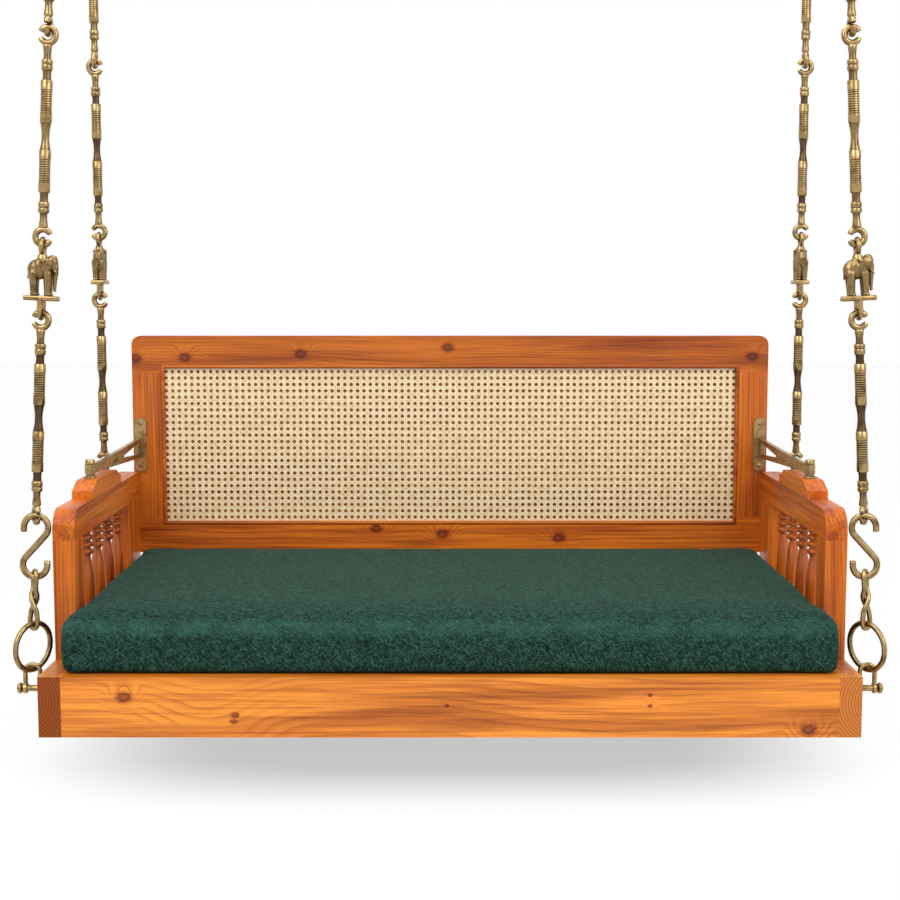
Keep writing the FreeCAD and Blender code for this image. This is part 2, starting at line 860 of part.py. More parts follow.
def chain_bar(low_centre_z, lower_turn, upper_turn):
    """A turned bar between two open eyes: collar, waist and sleeve at each end, slim middle."""
    body_length = 2 * (collar_length + waist_length + sleeve_length) + centre_length
    body_low = low_centre_z + (bar_eye_spacing - body_length) / 2
    half_profile = [
        (bar_wire_radius, -bar_wire_radius),
        (collar_radius, collar_length / 2),
        (waist_radius, collar_length + waist_length / 2),
        (sleeve_radius, collar_length + waist_length),
        (sleeve_radius, collar_length + waist_length + sleeve_length),
        (centre_radius, body_length / 2),
    ]
    profile = list(half_profile)
    profile.extend((radius, body_length - height) for radius, height in reversed(half_profile[:-1]))
    body = turned(profile, at(0, 0, body_low))
    low_centre = at(0, 0, low_centre_z)
    high_centre = at(0, 0, low_centre_z + bar_eye_spacing)
    to_eye = at(0, 0, bar_eye_radius)
    half_gap = bar_eye_gap_degrees / 2
    arc = 360 - bar_eye_gap_degrees
    lower_hook = [
        wire_ring(low_centre, bar_eye_radius, bar_wire_radius, half_gap, arc),
        wire_bar(low_centre + to_eye, at(0, 0, body_low), bar_wire_radius),
    ]
    upper_hook = [
        wire_ring(high_centre, bar_eye_radius, bar_wire_radius, half_gap - 180, arc),
        wire_bar(at(0, 0, body_low + body_length), high_centre - to_eye, bar_wire_radius),
    ]
    pieces = [turn(piece, lower_turn) for piece in lower_hook]
    pieces.extend(turn(piece, upper_turn) for piece in upper_hook)
    return joined([body] + pieces)


# The elephant's outline: shares of its length from the tail and of its height from the feet
elephant_side_shares = (
    (0.04, 0.0),
    (0.34, 0.0),
    (0.36, 0.28),
    (0.40, 0.38),
    (0.48, 0.38),
    (0.51, 0.24),
    (0.53, 0.0),
    (0.78, 0.0),
    (0.75, 0.36),
    (0.85, 0.32),
    (0.83, 0.10),
    (0.95, 0.09),
    (1.0, 0.48),
    (0.97, 0.80),
    (0.87, 0.97),
    (0.76, 0.98),
    (0.62, 0.92),
    (0.48, 0.96),
    (0.30, 0.94),
    (0.12, 0.83),
    (0.01, 0.58),
    (0.0, 0.34),
)
elephant_front_shares = {
    "foot_outer": (0.44, 0.0),
    "flank": (0.50, 0.50),
    "shoulder": (0.40, 0.85),
    "top": (0.16, 1.0),
    "foot_inner": (0.10, 0.0),
    "crotch": (0.08, 0.33),
}
elephant_ear_shares = ((0.56, 0.86), (0.72, 0.90), (0.76, 0.66), (0.70, 0.46), (0.58, 0.50))


def elephant_figure(foot_z):
    """The elephant: its side outline and its front outline cut from one another, with ears."""
    outline = []
    for length_share, height_share in elephant_side_shares:
        x = (length_share - 0.5) * elephant_length
        outline.append(at(x, -elephant_width / 2, foot_z + height_share * elephant_height))
    side = polygon_prism(outline, Y_AXIS * elephant_width)
    right = []
    for name in ("crotch", "foot_inner", "foot_outer", "flank", "shoulder", "top"):
        width_share, height_share = elephant_front_shares[name]
        right.append((width_share * elephant_width, foot_z + height_share * elephant_height))
    start_x = -elephant_length
    points = [at(start_x, y, z) for y, z in right]
    points.extend(at(start_x, -y, z) for y, z in reversed(right))
    front = polygon_prism(points, X_AXIS * (2 * elephant_length))
    return joined([side.common(front)] + elephant_ears(foot_z))


def elephant_ears(foot_z):
    ears = []
    for low_y in (-elephant_width / 2, elephant_width / 2 - elephant_ear_thickness):
        outline = []
        for length_share, height_share in elephant_ear_shares:
            x = (length_share - 0.5) * elephant_length
            outline.append(at(x, low_y, foot_z + height_share * elephant_height))
        ears.append(polygon_prism(outline, Y_AXIS * elephant_ear_thickness))
    return ears


def elephant_piece(low_wire_z, figure_turn):
    """A stirrup, the platform on it, the elephant and the ring on the elephant's back."""
    platform_z = low_wire_z + elephant_shank
    foot_z = platform_z + platform_thickness
    arc_z = low_wire_z + elephant_loop_half_width
    stirrup = [wire_ring(at(0, 0, arc_z), elephant_loop_half_width, elephant_wire_radius, 180, 180)]
    for side in (-1, 1):
        x = side * elephant_loop_half_width
        top = platform_z + platform_thickness / 2
        stirrup.append(wire_bar(at(x, 0, arc_z), at(x, 0, top), elephant_wire_radius))
    ring_z = foot_z + elephant_height + elephant_loop_top - elephant_ring_radius
    ring = wire_ring(at(0, 0, ring_z), elephant_ring_radius, elephant_wire_radius)
    saddle_half = elephant_saddle_length / 2
    saddle_top = ring_z - elephant_ring_radius
    saddle_low = foot_z + elephant_height - elephant_saddle_drop
    saddle = box((-saddle_half, saddle_half), (-saddle_half, saddle_half), (saddle_low, saddle_top))
    loops = [turn(piece, 90) for piece in stirrup + [ring]]
    figure = turn(joined([platform(platform_z), elephant_figure(foot_z), saddle]), figure_turn)
    return joined([figure] + loops)


def platform(low_z):
    """The flat stand with its corners cut off."""
    half_x = platform_length / 2
    half_y = platform_width / 2
    cut_x = half_x - platform_corner
    cut_y = half_y - platform_corner
    quarter = ((half_x, -cut_y), (half_x, cut_y), (cut_x, half_y), (-cut_x, half_y))
    points = [at(x, y, low_z) for x, y in quarter]
    points.extend(at(-x, -y, low_z) for x, y in quarter)
    return polygon_prism(points, Z_AXIS * platform_thickness)


def hang(wire_radius, inner_top, clearance=wire_clearance):
    """Height of a piece's lowest wire when it is held by the piece under it."""
    return inner_top - clearance - wire_radius


def adjuster(low_wire_z, inner, degrees):
    """The small ring that sets the height of one chain."""
    radius = inner / 2 + adjuster_wire_radius
    return turn(wire_ring(at(0, 0, low_wire_z + radius), radius, adjuster_wire_radius), degrees)


def stacked_chain(place, figure_turn, extra):
    """Every piece of one chain above its shackle, and the height of the eye's lowest wire."""
    pieces = {"links": [], "bars": []}
    top = shackle_inner_top
    in_front = place == "front"
    ring_angle = ring_turn if in_front else 90
    ring_radius = ring_outer_radius - ring_wire_radius
    low = hang(ring_wire_radius, top, turned_crossing_clearance)
    ring = wire_ring(at(0, 0, low + ring_radius), ring_radius, ring_wire_radius)
    pieces["links"].append(turn(ring, ring_angle))
    top = low + 2 * ring_radius - ring_wire_radius
    if not in_front:
        low = hang(adjuster_wire_radius, top)
        pieces["links"].append(adjuster(low, adjuster_inner, 0))
        top = low + adjuster_wire_radius + adjuster_inner
    low = hang(link_wire_radius, top)
    link_radius = link_half_width - link_wire_radius
    lower_turn = ring_angle + 90 if in_front else 90
    upper_turn = 90 if in_front else 0
    pieces["links"].append(figure_link(low + link_radius, lower_turn, upper_turn))
    top = low + link_height - 3 * link_wire_radius
    low = hang(hook_wire_radius, top)
    hook = s_hook(low + hook_half_width - hook_wire_radius)
    pieces["s_hook"] = [turn(hook, 180 if in_front else -90)]
    top = low + hook_height - 3 * hook_wire_radius
    bar_inner = bar_eye_spacing + 2 * bar_eye_radius - bar_wire_radius
    low = hang(bar_wire_radius, top)
    pieces["bars"].append(chain_bar(low + bar_eye_radius, upper_turn, 0))
    top = low + bar_inner
    low = hang(elephant_wire_radius, top)
    pieces["elephant"] = [elephant_piece(low, figure_turn)]
    foot_rise = elephant_shank + platform_thickness
    top = low + foot_rise + elephant_height + elephant_loop_top - elephant_wire_radius
    low = hang(bar_wire_radius, top)
    pieces["bars"].append(chain_bar(low + bar_eye_radius, 0, 0))
    top = low + bar_inner
    low = hang(bar_wire_radius, top)
    pieces["bars"].append(chain_bar(low + bar_eye_radius, 90, 0 if in_front else 90))
    top = low + bar_inner
    if in_front:
        low = hang(adjuster_wire_radius, top)
        pieces["links"].append(adjuster(low, adjuster_inner + extra, 90))
        top = low + adjuster_wire_radius + adjuster_inner + extra
    return pieces, hang(ceiling_eye_wire_radius, top)


def build_chains():
    """The four chains. The front ones lean in to ceiling points that are closer together."""
    pieces, eye_z = stacked_chain("rear", 90, 0)
    span = eye_z - shackle_inner_top
    lean = math.atan(front_lean_x / span)
    extra = span / math.cos(lean) - span
    for side, sign in side_signs.items():
        for place, y in hang_y.items():
            if place == "front":
                facing = 0 if side == "right" else 180
                pieces, top_z = stacked_chain(place, facing, extra)
            else:
                pieces, top_z = stacked_chain(place, 90, 0)
            lean_degrees = -math.degrees(lean) if place == "front" else 0
            shackle_shape = shackle()
            shackle_shape.translate(at(pin_x, y, 0))
            placed = {"shackle": [shackle_shape]}
            for node, shapes in pieces.items():
                for shape in shapes:
                    shape.rotate(at(0, 0, shackle_inner_top), Y_AXIS, lean_degrees)
                    shape.translate(at(pin_x, y, 0))
                placed[node] = shapes
            for node, shapes in placed.items():
                if sign < 0:
                    shapes = [mirrored(shape) for shape in shapes]
                export(f"{place}_{side}_{node}", shapes)
    build_ceiling(eye_z)


# Ceiling fixings


def ceiling_eye(x, y, low_wire_z):
    """A closed eye with a short shank under the ceiling plate."""
    centre_z = low_wire_z + ceiling_eye_radius
    ring = wire_ring(at(x, y, centre_z), ceiling_eye_radius, ceiling_eye_wire_radius)
    shank_z = centre_z + ceiling_eye_radius
    shank = rod(ceiling_shank_radius, ceiling_shank_length, at(x, y, shank_z), Z_AXIS)
    return joined([ring, shank])


def ceiling_plate(x, y, low_z):
    plate = rod(ceiling_plate_radius, ceiling_plate_thickness, at(x, y, low_z), Z_AXIS)
    for index in range(ceiling_hole_count):
        angle = 2 * math.pi * index / ceiling_hole_count
        hole_x = x + ceiling_hole_circle_radius * math.cos(angle)
        hole_y = y + ceiling_hole_circle_radius * math.sin(angle)
        start = at(hole_x, hole_y, low_z - cut_overrun)
        plate = plate.cut(
            cylinder(ceiling_hole_radius, ceiling_plate_thickness + 2 * cut_overrun, start, Z_AXIS)
        )
    return plate


def build_ceiling(eye_z):
    """One round plate and one eye over each chain."""
    eyes = []
    plates = []
    plate_z = eye_z + 2 * ceiling_eye_radius + ceiling_shank_length
    for place, y in hang_y.items():
        x = pin_x - (front_lean_x if place == "front" else 0)
        for sign in side_signs.values():
            eyes.append(ceiling_eye(sign * x, y, eye_z))
            plates.append(ceiling_plate(sign * x, y, plate_z))
    export("ceiling_eyes", eyes)
    export("ceiling_plates", plates)
    print("eye wire height", round(eye_z, 3), "ceiling height", round(plate_z + ceiling_plate_thickness, 3))


def main():
    os.makedirs("parts", exist_ok=True)
    build_seat()
    build_cushion()
    build_arms()
    build_back()
    build_brackets()
    build_hanging_bolts()
    build_chains()


main()
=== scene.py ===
"""A teak jhoola with a cane back and brass chains, dressed on its measured frame."""

import json
import logging
import math
from collections.abc import Callable, Hashable, Iterable, Sequence
from dataclasses import dataclass
from enum import Enum

import bpy
from mathutils import Matrix, Vector


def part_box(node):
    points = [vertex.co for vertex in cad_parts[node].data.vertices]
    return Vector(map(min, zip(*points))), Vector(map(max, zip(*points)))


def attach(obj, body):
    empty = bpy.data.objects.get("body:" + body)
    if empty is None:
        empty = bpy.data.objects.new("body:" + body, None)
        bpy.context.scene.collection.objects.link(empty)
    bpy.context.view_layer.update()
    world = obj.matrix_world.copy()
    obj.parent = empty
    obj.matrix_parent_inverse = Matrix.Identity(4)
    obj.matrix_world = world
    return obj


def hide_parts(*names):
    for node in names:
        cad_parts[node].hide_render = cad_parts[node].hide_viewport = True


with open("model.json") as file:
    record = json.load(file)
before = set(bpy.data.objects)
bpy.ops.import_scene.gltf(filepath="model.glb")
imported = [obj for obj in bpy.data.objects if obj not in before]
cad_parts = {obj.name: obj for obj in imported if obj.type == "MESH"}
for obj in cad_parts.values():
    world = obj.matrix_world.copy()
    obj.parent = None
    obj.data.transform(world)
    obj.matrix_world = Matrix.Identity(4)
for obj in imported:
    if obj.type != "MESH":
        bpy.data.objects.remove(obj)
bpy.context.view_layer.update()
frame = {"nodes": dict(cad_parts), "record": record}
log = logging.getLogger("jhoola")

Point = tuple[float, float, float]
Colour = tuple[float, float, float, float]
Profile = list[tuple[float, float]]
Socket = bpy.types.NodeSocket
Input = Socket | float | tuple[float, ...]
Grain = tuple[float, float, float]

UNMOVED: Point = (0.0, 0.0, 0.0)
SAME_SCALE: Point = (1.0, 1.0, 1.0)
WHITE: Colour = (1.0, 1.0, 1.0, 1.0)
ACROSS_X = Matrix.Scale(-1.0, 4, (1.0, 0.0, 0.0))
DOUBLES = 0.00002
WIRE_FACES = 14


class Axis(Enum):
    """The direction that the grain of a timber member runs along."""

    ALONG_X = (0.0, math.pi / 2, 0.0)
    ALONG_Y = (math.pi / 2, 0.0, 0.0)
    ALONG_Z = (0.0, 0.0, 0.0)


class Place(Enum):
    """A chain's place on the swing, seen from the front."""

    FRONT = "front"
    REAR = "rear"


class Side(Enum):
    """The left or right of the swing, with the sign of its X coordinates."""

    LEFT = -1
    RIGHT = 1

    def mirrored(self, matrix: Matrix) -> Matrix:
        """A place on the right, or its mirror image on the left."""
        return ACROSS_X @ matrix if self is Side.LEFT else matrix


# Modelling by hand: small wrappers round the operators


def clamped(value: float) -> float:
    """A value kept between 0 and 1."""
    return max(0.0, min(1.0, value))


def corners_of(node: str) -> tuple[Vector, Vector]:
    """The lowest and highest corner of a measured solid."""
    low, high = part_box(node)
    return Vector(low), Vector(high)


def frame_slot(node: str) -> str:
    """The record's material slot of a solid."""
    return next(part["material_slot"] for part in frame["record"]["subparts"] if part["node"] == node)


def into_scene(name: str, data: bpy.types.ID) -> bpy.types.Object:
    """Make an object for a mesh, curve, lamp or camera, and put it in the scene."""
    piece = bpy.data.objects.new(name, data)
    bpy.context.collection.objects.link(piece)
    return piece


def deselect() -> None:
    """Leave nothing selected."""
    if bpy.context.object and bpy.context.object.mode != "OBJECT":
        bpy.ops.object.mode_set(mode="OBJECT")
    bpy.ops.object.select_all(action="DESELECT")


def activate(piece: bpy.types.Object) -> None:
    """Make one piece the only selected and the active one.

    Args:
        piece: The object to work on next.
    """
    deselect()
    piece.select_set(True)
    bpy.context.view_layer.objects.active = piece


def named(name: str) -> bpy.types.Object:
    """Name the piece that was just added.

    Args:
        name: The piece's name.

    Returns:
        The active object.
    """
    piece = bpy.context.object
    piece.name = name
    piece.data.name = name
    return piece


def settle(piece: bpy.types.Object) -> bpy.types.Object:
    """Put a piece's place, turn and scale into its mesh.

    Args:
        piece: The piece, still placed by its object.

    Returns:
        The same piece, its object at the origin.
    """
    activate(piece)
    bpy.ops.object.transform_apply(location=True, rotation=True, scale=True)
    return piece


def join(pieces: Sequence[bpy.types.Object], name: str) -> bpy.types.Object:
    """Make several pieces into one object.

    Args:
        pieces: The pieces, settled.
        name: The name of the whole.

    Returns:
        The joined object.
    """
    deselect()
    for piece in pieces:
        piece.select_set(True)
    bpy.context.view_layer.objects.active = pieces[0]
    bpy.ops.object.join()
    return named(name)


def face_outward(piece: bpy.types.Object) -> None:
    """Merge doubles and turn every face of a closed piece outwards.

    Args:
        piece: The piece to mend.
    """
    activate(piece)
    bpy.ops.object.mode_set(mode="EDIT")
    bpy.ops.mesh.select_all(action="SELECT")
    bpy.ops.mesh.remove_doubles(threshold=DOUBLES)
    bpy.ops.mesh.normals_make_consistent(inside=False)
    bpy.ops.object.mode_set(mode="OBJECT")


def smooth(piece: bpy.types.Object, degrees: float = 40.0) -> None:
    """Shade a piece smooth but for its sharper edges.

    Args:
        piece: The piece to shade.
        degrees: The sharpest angle that still looks smooth.
    """
    activate(piece)
    bpy.ops.object.shade_smooth_by_angle(angle=math.radians(degrees))


def modify(piece: bpy.types.Object, kind: str, **values: float | str) -> None:
    """Change a piece by one modifier and apply it.

    Args:
        piece: The piece to change.
        kind: The modifier's type.
        **values: The modifier's settings.
    """
    activate(piece)
    modifier = piece.modifiers.new(kind.lower(), kind)
    for key, value in values.items():
        setattr(modifier, key, value)
    bpy.ops.object.modifier_apply(modifier=modifier.name)


def reskin(piece: bpy.types.Object, voxel: float) -> None:
    """Give a piece one even skin and relax it.

    Args:
        piece: The piece.
        voxel: The size of the skin's faces.
    """
    modify(piece, "REMESH", mode="VOXEL", voxel_size=voxel)
    modify(piece, "SMOOTH", factor=0.5, iterations=3)


def dress(piece: bpy.types.Object, finish: bpy.types.Material) -> None:
    """Give a piece its finish.

    Args:
        piece: The piece.
        finish: The material.
    """
    piece.data.materials.clear()
    piece.data.materials.append(finish)
    for face in piece.data.polygons:
        face.material_index = 0


def stand_in(piece: bpy.types.Object, finish: bpy.types.Material, body: str, node: str) -> None:
    """Dress a piece and let it stand for a measured solid.

    Args:
        piece: The piece in its place.
        finish: The material.
        body: The body it moves with.
        node: The solid that it replaces.
    """
    dress(piece, finish)
    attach(piece, body)
    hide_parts(node)


def darken_recesses(piece: bpy.types.Object, patina: bpy.types.Material, faces: Sequence[int]) -> None:
    """Give the hollows of a turned piece a second, darker finish.

    Args:
        piece: The piece, already dressed.
        patina: The darker finish.
        faces: The faces in the hollows.
    """
    piece.data.materials.append(patina)
    for index in faces:
        piece.data.polygons[index].material_index = 1


def turn_on_lathe(name: str, profile: Profile, steps: int) -> bpy.types.Object:
    """Spin a (radius, height) outline about +Z into a closed turned piece.

    Args:
        name: The piece's name.
        profile: Outline points from the lowest to the highest.
        steps: Faces round the axis.

    Returns:
        The turned piece.
    """
    corners = [(0.0, 0.0, profile[0][1])]
    corners += [(radius, 0.0, height) for radius, height in profile]
    corners.append((0.0, 0.0, profile[-1][1]))
    mesh = bpy.data.meshes.new(name)
    mesh.from_pydata(corners, [(index, index + 1) for index in range(len(corners) - 1)], [])
    piece = into_scene(name, mesh)
    activate(piece)
    bpy.ops.object.mode_set(mode="EDIT")
    bpy.ops.mesh.select_all(action="SELECT")
    bpy.ops.mesh.spin(steps=steps, angle=2 * math.pi, center=(0, 0, 0), axis=(0, 0, 1))
    bpy.ops.object.mode_set(mode="OBJECT")
    face_outward(piece)
    smooth(piece)
    return piece


def bend_wire(name: str, path: Sequence[Point], radii: Sequence[float], wire: float, closed: bool) -> bpy.types.Object:
    """Draw round bar along a path and make it a mesh.

    Args:
        name: The piece's name.
        path: The bar's centre line.
        radii: The bar's thickness at each point, as a share of wire.
        wire: The bar's radius in metres.
        closed: Whether the bar closes on itself.

    Returns:
        The bent bar.
    """
    curve = bpy.data.curves.new(name, "CURVE")
    curve.dimensions = "3D"
    curve.bevel_depth = wire
    curve.bevel_resolution = 4
    curve.use_fill_caps = True
    spline = curve.splines.new("POLY")
    spline.points.add(len(path) - 1)
    for point, place, share in zip(spline.points, path, radii):
        point.co = (*place, 1.0)
        point.radius = share
    spline.use_cyclic_u = closed
    activate(into_scene(name, curve))
    bpy.ops.object.convert(target="MESH")
    piece = named(name)
    face_outward(piece)
    smooth(piece, 60.0)
    return piece


def torus(name: str, radius: float, wire: float, centre: Point, faces: int) -> bpy.types.Object:
    """A plain ring of round wire that stands in an XZ plane.

    Args:
        name: The piece's name.
        radius: The radius of the ring's centre line.
        wire: The wire's radius.
        centre: The ring's centre.
        faces: How many faces go round the ring.

    Returns:
        The ring.
    """
    deselect()
    bpy.ops.mesh.primitive_torus_add(
        major_radius=radius,
        minor_radius=wire,
        major_segments=faces,
        minor_segments=WIRE_FACES,
        location=centre,
        rotation=(math.pi / 2, 0.0, 0.0),
    )
    piece = settle(named(name))
    smooth(piece, 60.0)
    return piece


def arc(centre: tuple[float, float], radius: float, start: float, end: float, steps: int) -> list[Point]:
    """Points along an arc in the XZ plane.

    Args:
        centre: The arc's centre as X and Z.
        radius: Its radius.
        start: The first angle in degrees, 0 along +X.
        end: The last angle.
        steps: Stretches along it.

    Returns:
        The points from start to end.
    """
    points = []
    for index in range(steps + 1):
        angle = math.radians(start + (end - start) * index / steps)
        points.append((centre[0] + radius * math.cos(angle), 0.0, centre[1] + radius * math.sin(angle)))
    return points


def rounded(points: Profile, share: int) -> Profile:
    """Round a turned outline by a smooth curve through its points.

    Args:
        points: The (radius, height) points.
        share: Stretches between two points.

    Returns:
        The denser outline.
    """
    dense = []
    for index in range(len(points) - 1):
        before = points[max(index - 1, 0)]
        here = points[index]
        there = points[index + 1]
        after = points[min(index + 2, len(points) - 1)]
        for step in range(share):
            t = step / share
            place = []
            for a, b, c, d in zip(before, here, there, after):
                slope_b = (c - a) / 2
                slope_c = (d - b) / 2
                place.append(
                    (2 * t**3 - 3 * t**2 + 1) * b
                    + (t**3 - 2 * t**2 + t) * slope_b
                    + (3 * t**2 - 2 * t**3) * c
                    + (t**3 - t**2) * slope_c
                )
            dense.append((max(place[0], 0.0), place[1]))
    dense.append(points[-1])
    return dense


# Finishes


class Nodes:
    """The node tree of a material or a sky, with short ways to add and link nodes."""

    def __init__(self, owner: bpy.types.Material | bpy.types.World) -> None:
        """Switch the tree on.

        Args:
            owner: The material or world that the tree belongs to.
        """
        owner.use_nodes = True
        self.owner = owner
        self.tree = owner.node_tree

    def feed(self, socket: Socket, value: Input) -> None:
        """Link another socket into an input, or set the input's constant.

        Args:
            socket: The input.
            value: The other socket, or the constant.
        """
        if isinstance(value, Socket):
            self.tree.links.new(value, socket)
        else:
            socket.default_value = value

    def add(self, kind: str, **values: object) -> bpy.types.Node:
        """Add a node.

        Args:
            kind: The node's type name after ShaderNode.
            **values: Options in lower case, and inputs by name with underscores for spaces.

        Returns:
            The new node.
        """
        node = self.tree.nodes.new(f"ShaderNode{kind}")
        for key, value in values.items():
            if key[0].islower():
                setattr(node, key, value)
            else:
                self.feed(node.inputs[key.replace("_", " ")], value)
        return node

    def operate(self, kind: str, operation: str, values: Sequence[Input]) -> bpy.types.Node:
        """Add a node that works on its inputs in their order."""
        node = self.add(kind, operation=operation)
        for socket, value in zip(node.inputs, values):
            self.feed(socket, value)
        return node

    def math(self, operation: str, *values: Input) -> Socket:
        """The result of a math node over sockets or numbers."""
        return self.operate("Math", operation, values).outputs[0]

    def vector(self, operation: str, *values: Input) -> Socket:
        """The result of a vector math node, a number when it measures a length."""
        node = self.operate("VectorMath", operation, values)
        return node.outputs["Value" if operation == "LENGTH" else "Vector"]

    def surface(self, **values: Input) -> bpy.types.Material:
        """Set inputs of the shader by name.

        Args:
            **values: Sockets or constants, with underscores for spaces.

        Returns:
            The finished material.
        """
        shader = self.tree.nodes["Principled BSDF"]
        for key, value in values.items():
            self.feed(shader.inputs[key.replace("_", " ")], value)
        return self.owner

    def object_place(self) -> Socket:
        """The object's own coordinates."""
        return self.add("TexCoord").outputs["Object"]

    def placed(self, stretch: Point = SAME_SCALE, shift: Point = UNMOVED, turn: Point = UNMOVED) -> Socket:
        """Object coordinates, turned, then stretched and moved.

        Args:
            stretch: Scale along each axis after the turn.
            shift: How far the pattern is moved.
            turn: The turn in radians.

        Returns:
            The vector socket.
        """
        turned = self.add("Mapping", Rotation=turn, Vector=self.object_place())
        return self.add("Mapping", Scale=stretch, Location=shift, Vector=turned.outputs["Vector"]).outputs["Vector"]

    def noise(self, place: Socket, scale: float, **more: float) -> Socket:
        """A noise value.

        Args:
            place: The coordinates.
            scale: How fine it is.
            **more: The node's other inputs.

        Returns:
            The value socket.
        """
        return self.add("TexNoise", Vector=place, Scale=scale, **more).outputs["Fac"]

    def span(self, value: Socket, start: float, end: float, least: float, most: float, eased: bool = False) -> Socket:
        """Stretch one range of values over another.

        Args:
            value: The value.
            start: Where the first range starts.
            end: Where it ends.
            least: The result at the start.
            most: The result at the end.
            eased: Whether it leaves and arrives gently.

        Returns:
            The result.
        """
        ends = {"From_Min": start, "From_Max": end, "To_Min": least, "To_Max": most}
        kind = "SMOOTHSTEP" if eased else "LINEAR"
        return self.add("MapRange", interpolation_type=kind, Value=value, **ends).outputs["Result"]

    def ramp(self, source: Socket, stops: Sequence[tuple[float, Colour]]) -> Socket:
        """A colour ramp over a value.

        Args:
            source: The value socket.
            stops: Positions and colours, lowest first.

        Returns:
            The colour socket.
        """
        node = self.add("ValToRGB", Fac=source)
        elements = node.color_ramp.elements
        while len(elements) < len(stops):
            elements.new(0.5)
        for element, (position, colour) in zip(elements, stops):
            element.position = position
            element.color = colour
        return node.outputs["Color"]

    def mix(self, factor: Input, first: Input, second: Input, blend: str = "MIX") -> Socket:
        """Mix two colours.

        Args:
            factor: How much of the second.
            first: The first colour.
            second: The second colour.
            blend: The blend type.

        Returns:
            The mixed colour socket.
        """
        node = self.add("Mix", data_type="RGBA", blend_type=blend)
        for index, value in ((0, factor), (6, first), (7, second)):
            self.feed(node.inputs[index], value)
        return node.outputs[2]

    def bump(self, height: Socket, strength: float, distance: float) -> Socket:
        """A surface raised by a height map.

        Args:
            height: The height socket.
            strength: How strongly it shows.
            distance: The height of a full step in metres.

        Returns:
            The normal socket.
        """
        return self.add("Bump", Height=height, Strength=strength, Distance=distance).outputs["Normal"]


def new_finish(name: str) -> Nodes:
    """Start a material."""
    return Nodes(bpy.data.materials.new(name))


@dataclass(frozen=True)
class Knot:
    """A knot on a member's face, placed in the XZ plane, which the grain flows round."""

    x: float
    z: float
    radius: float
    dark: bool = True


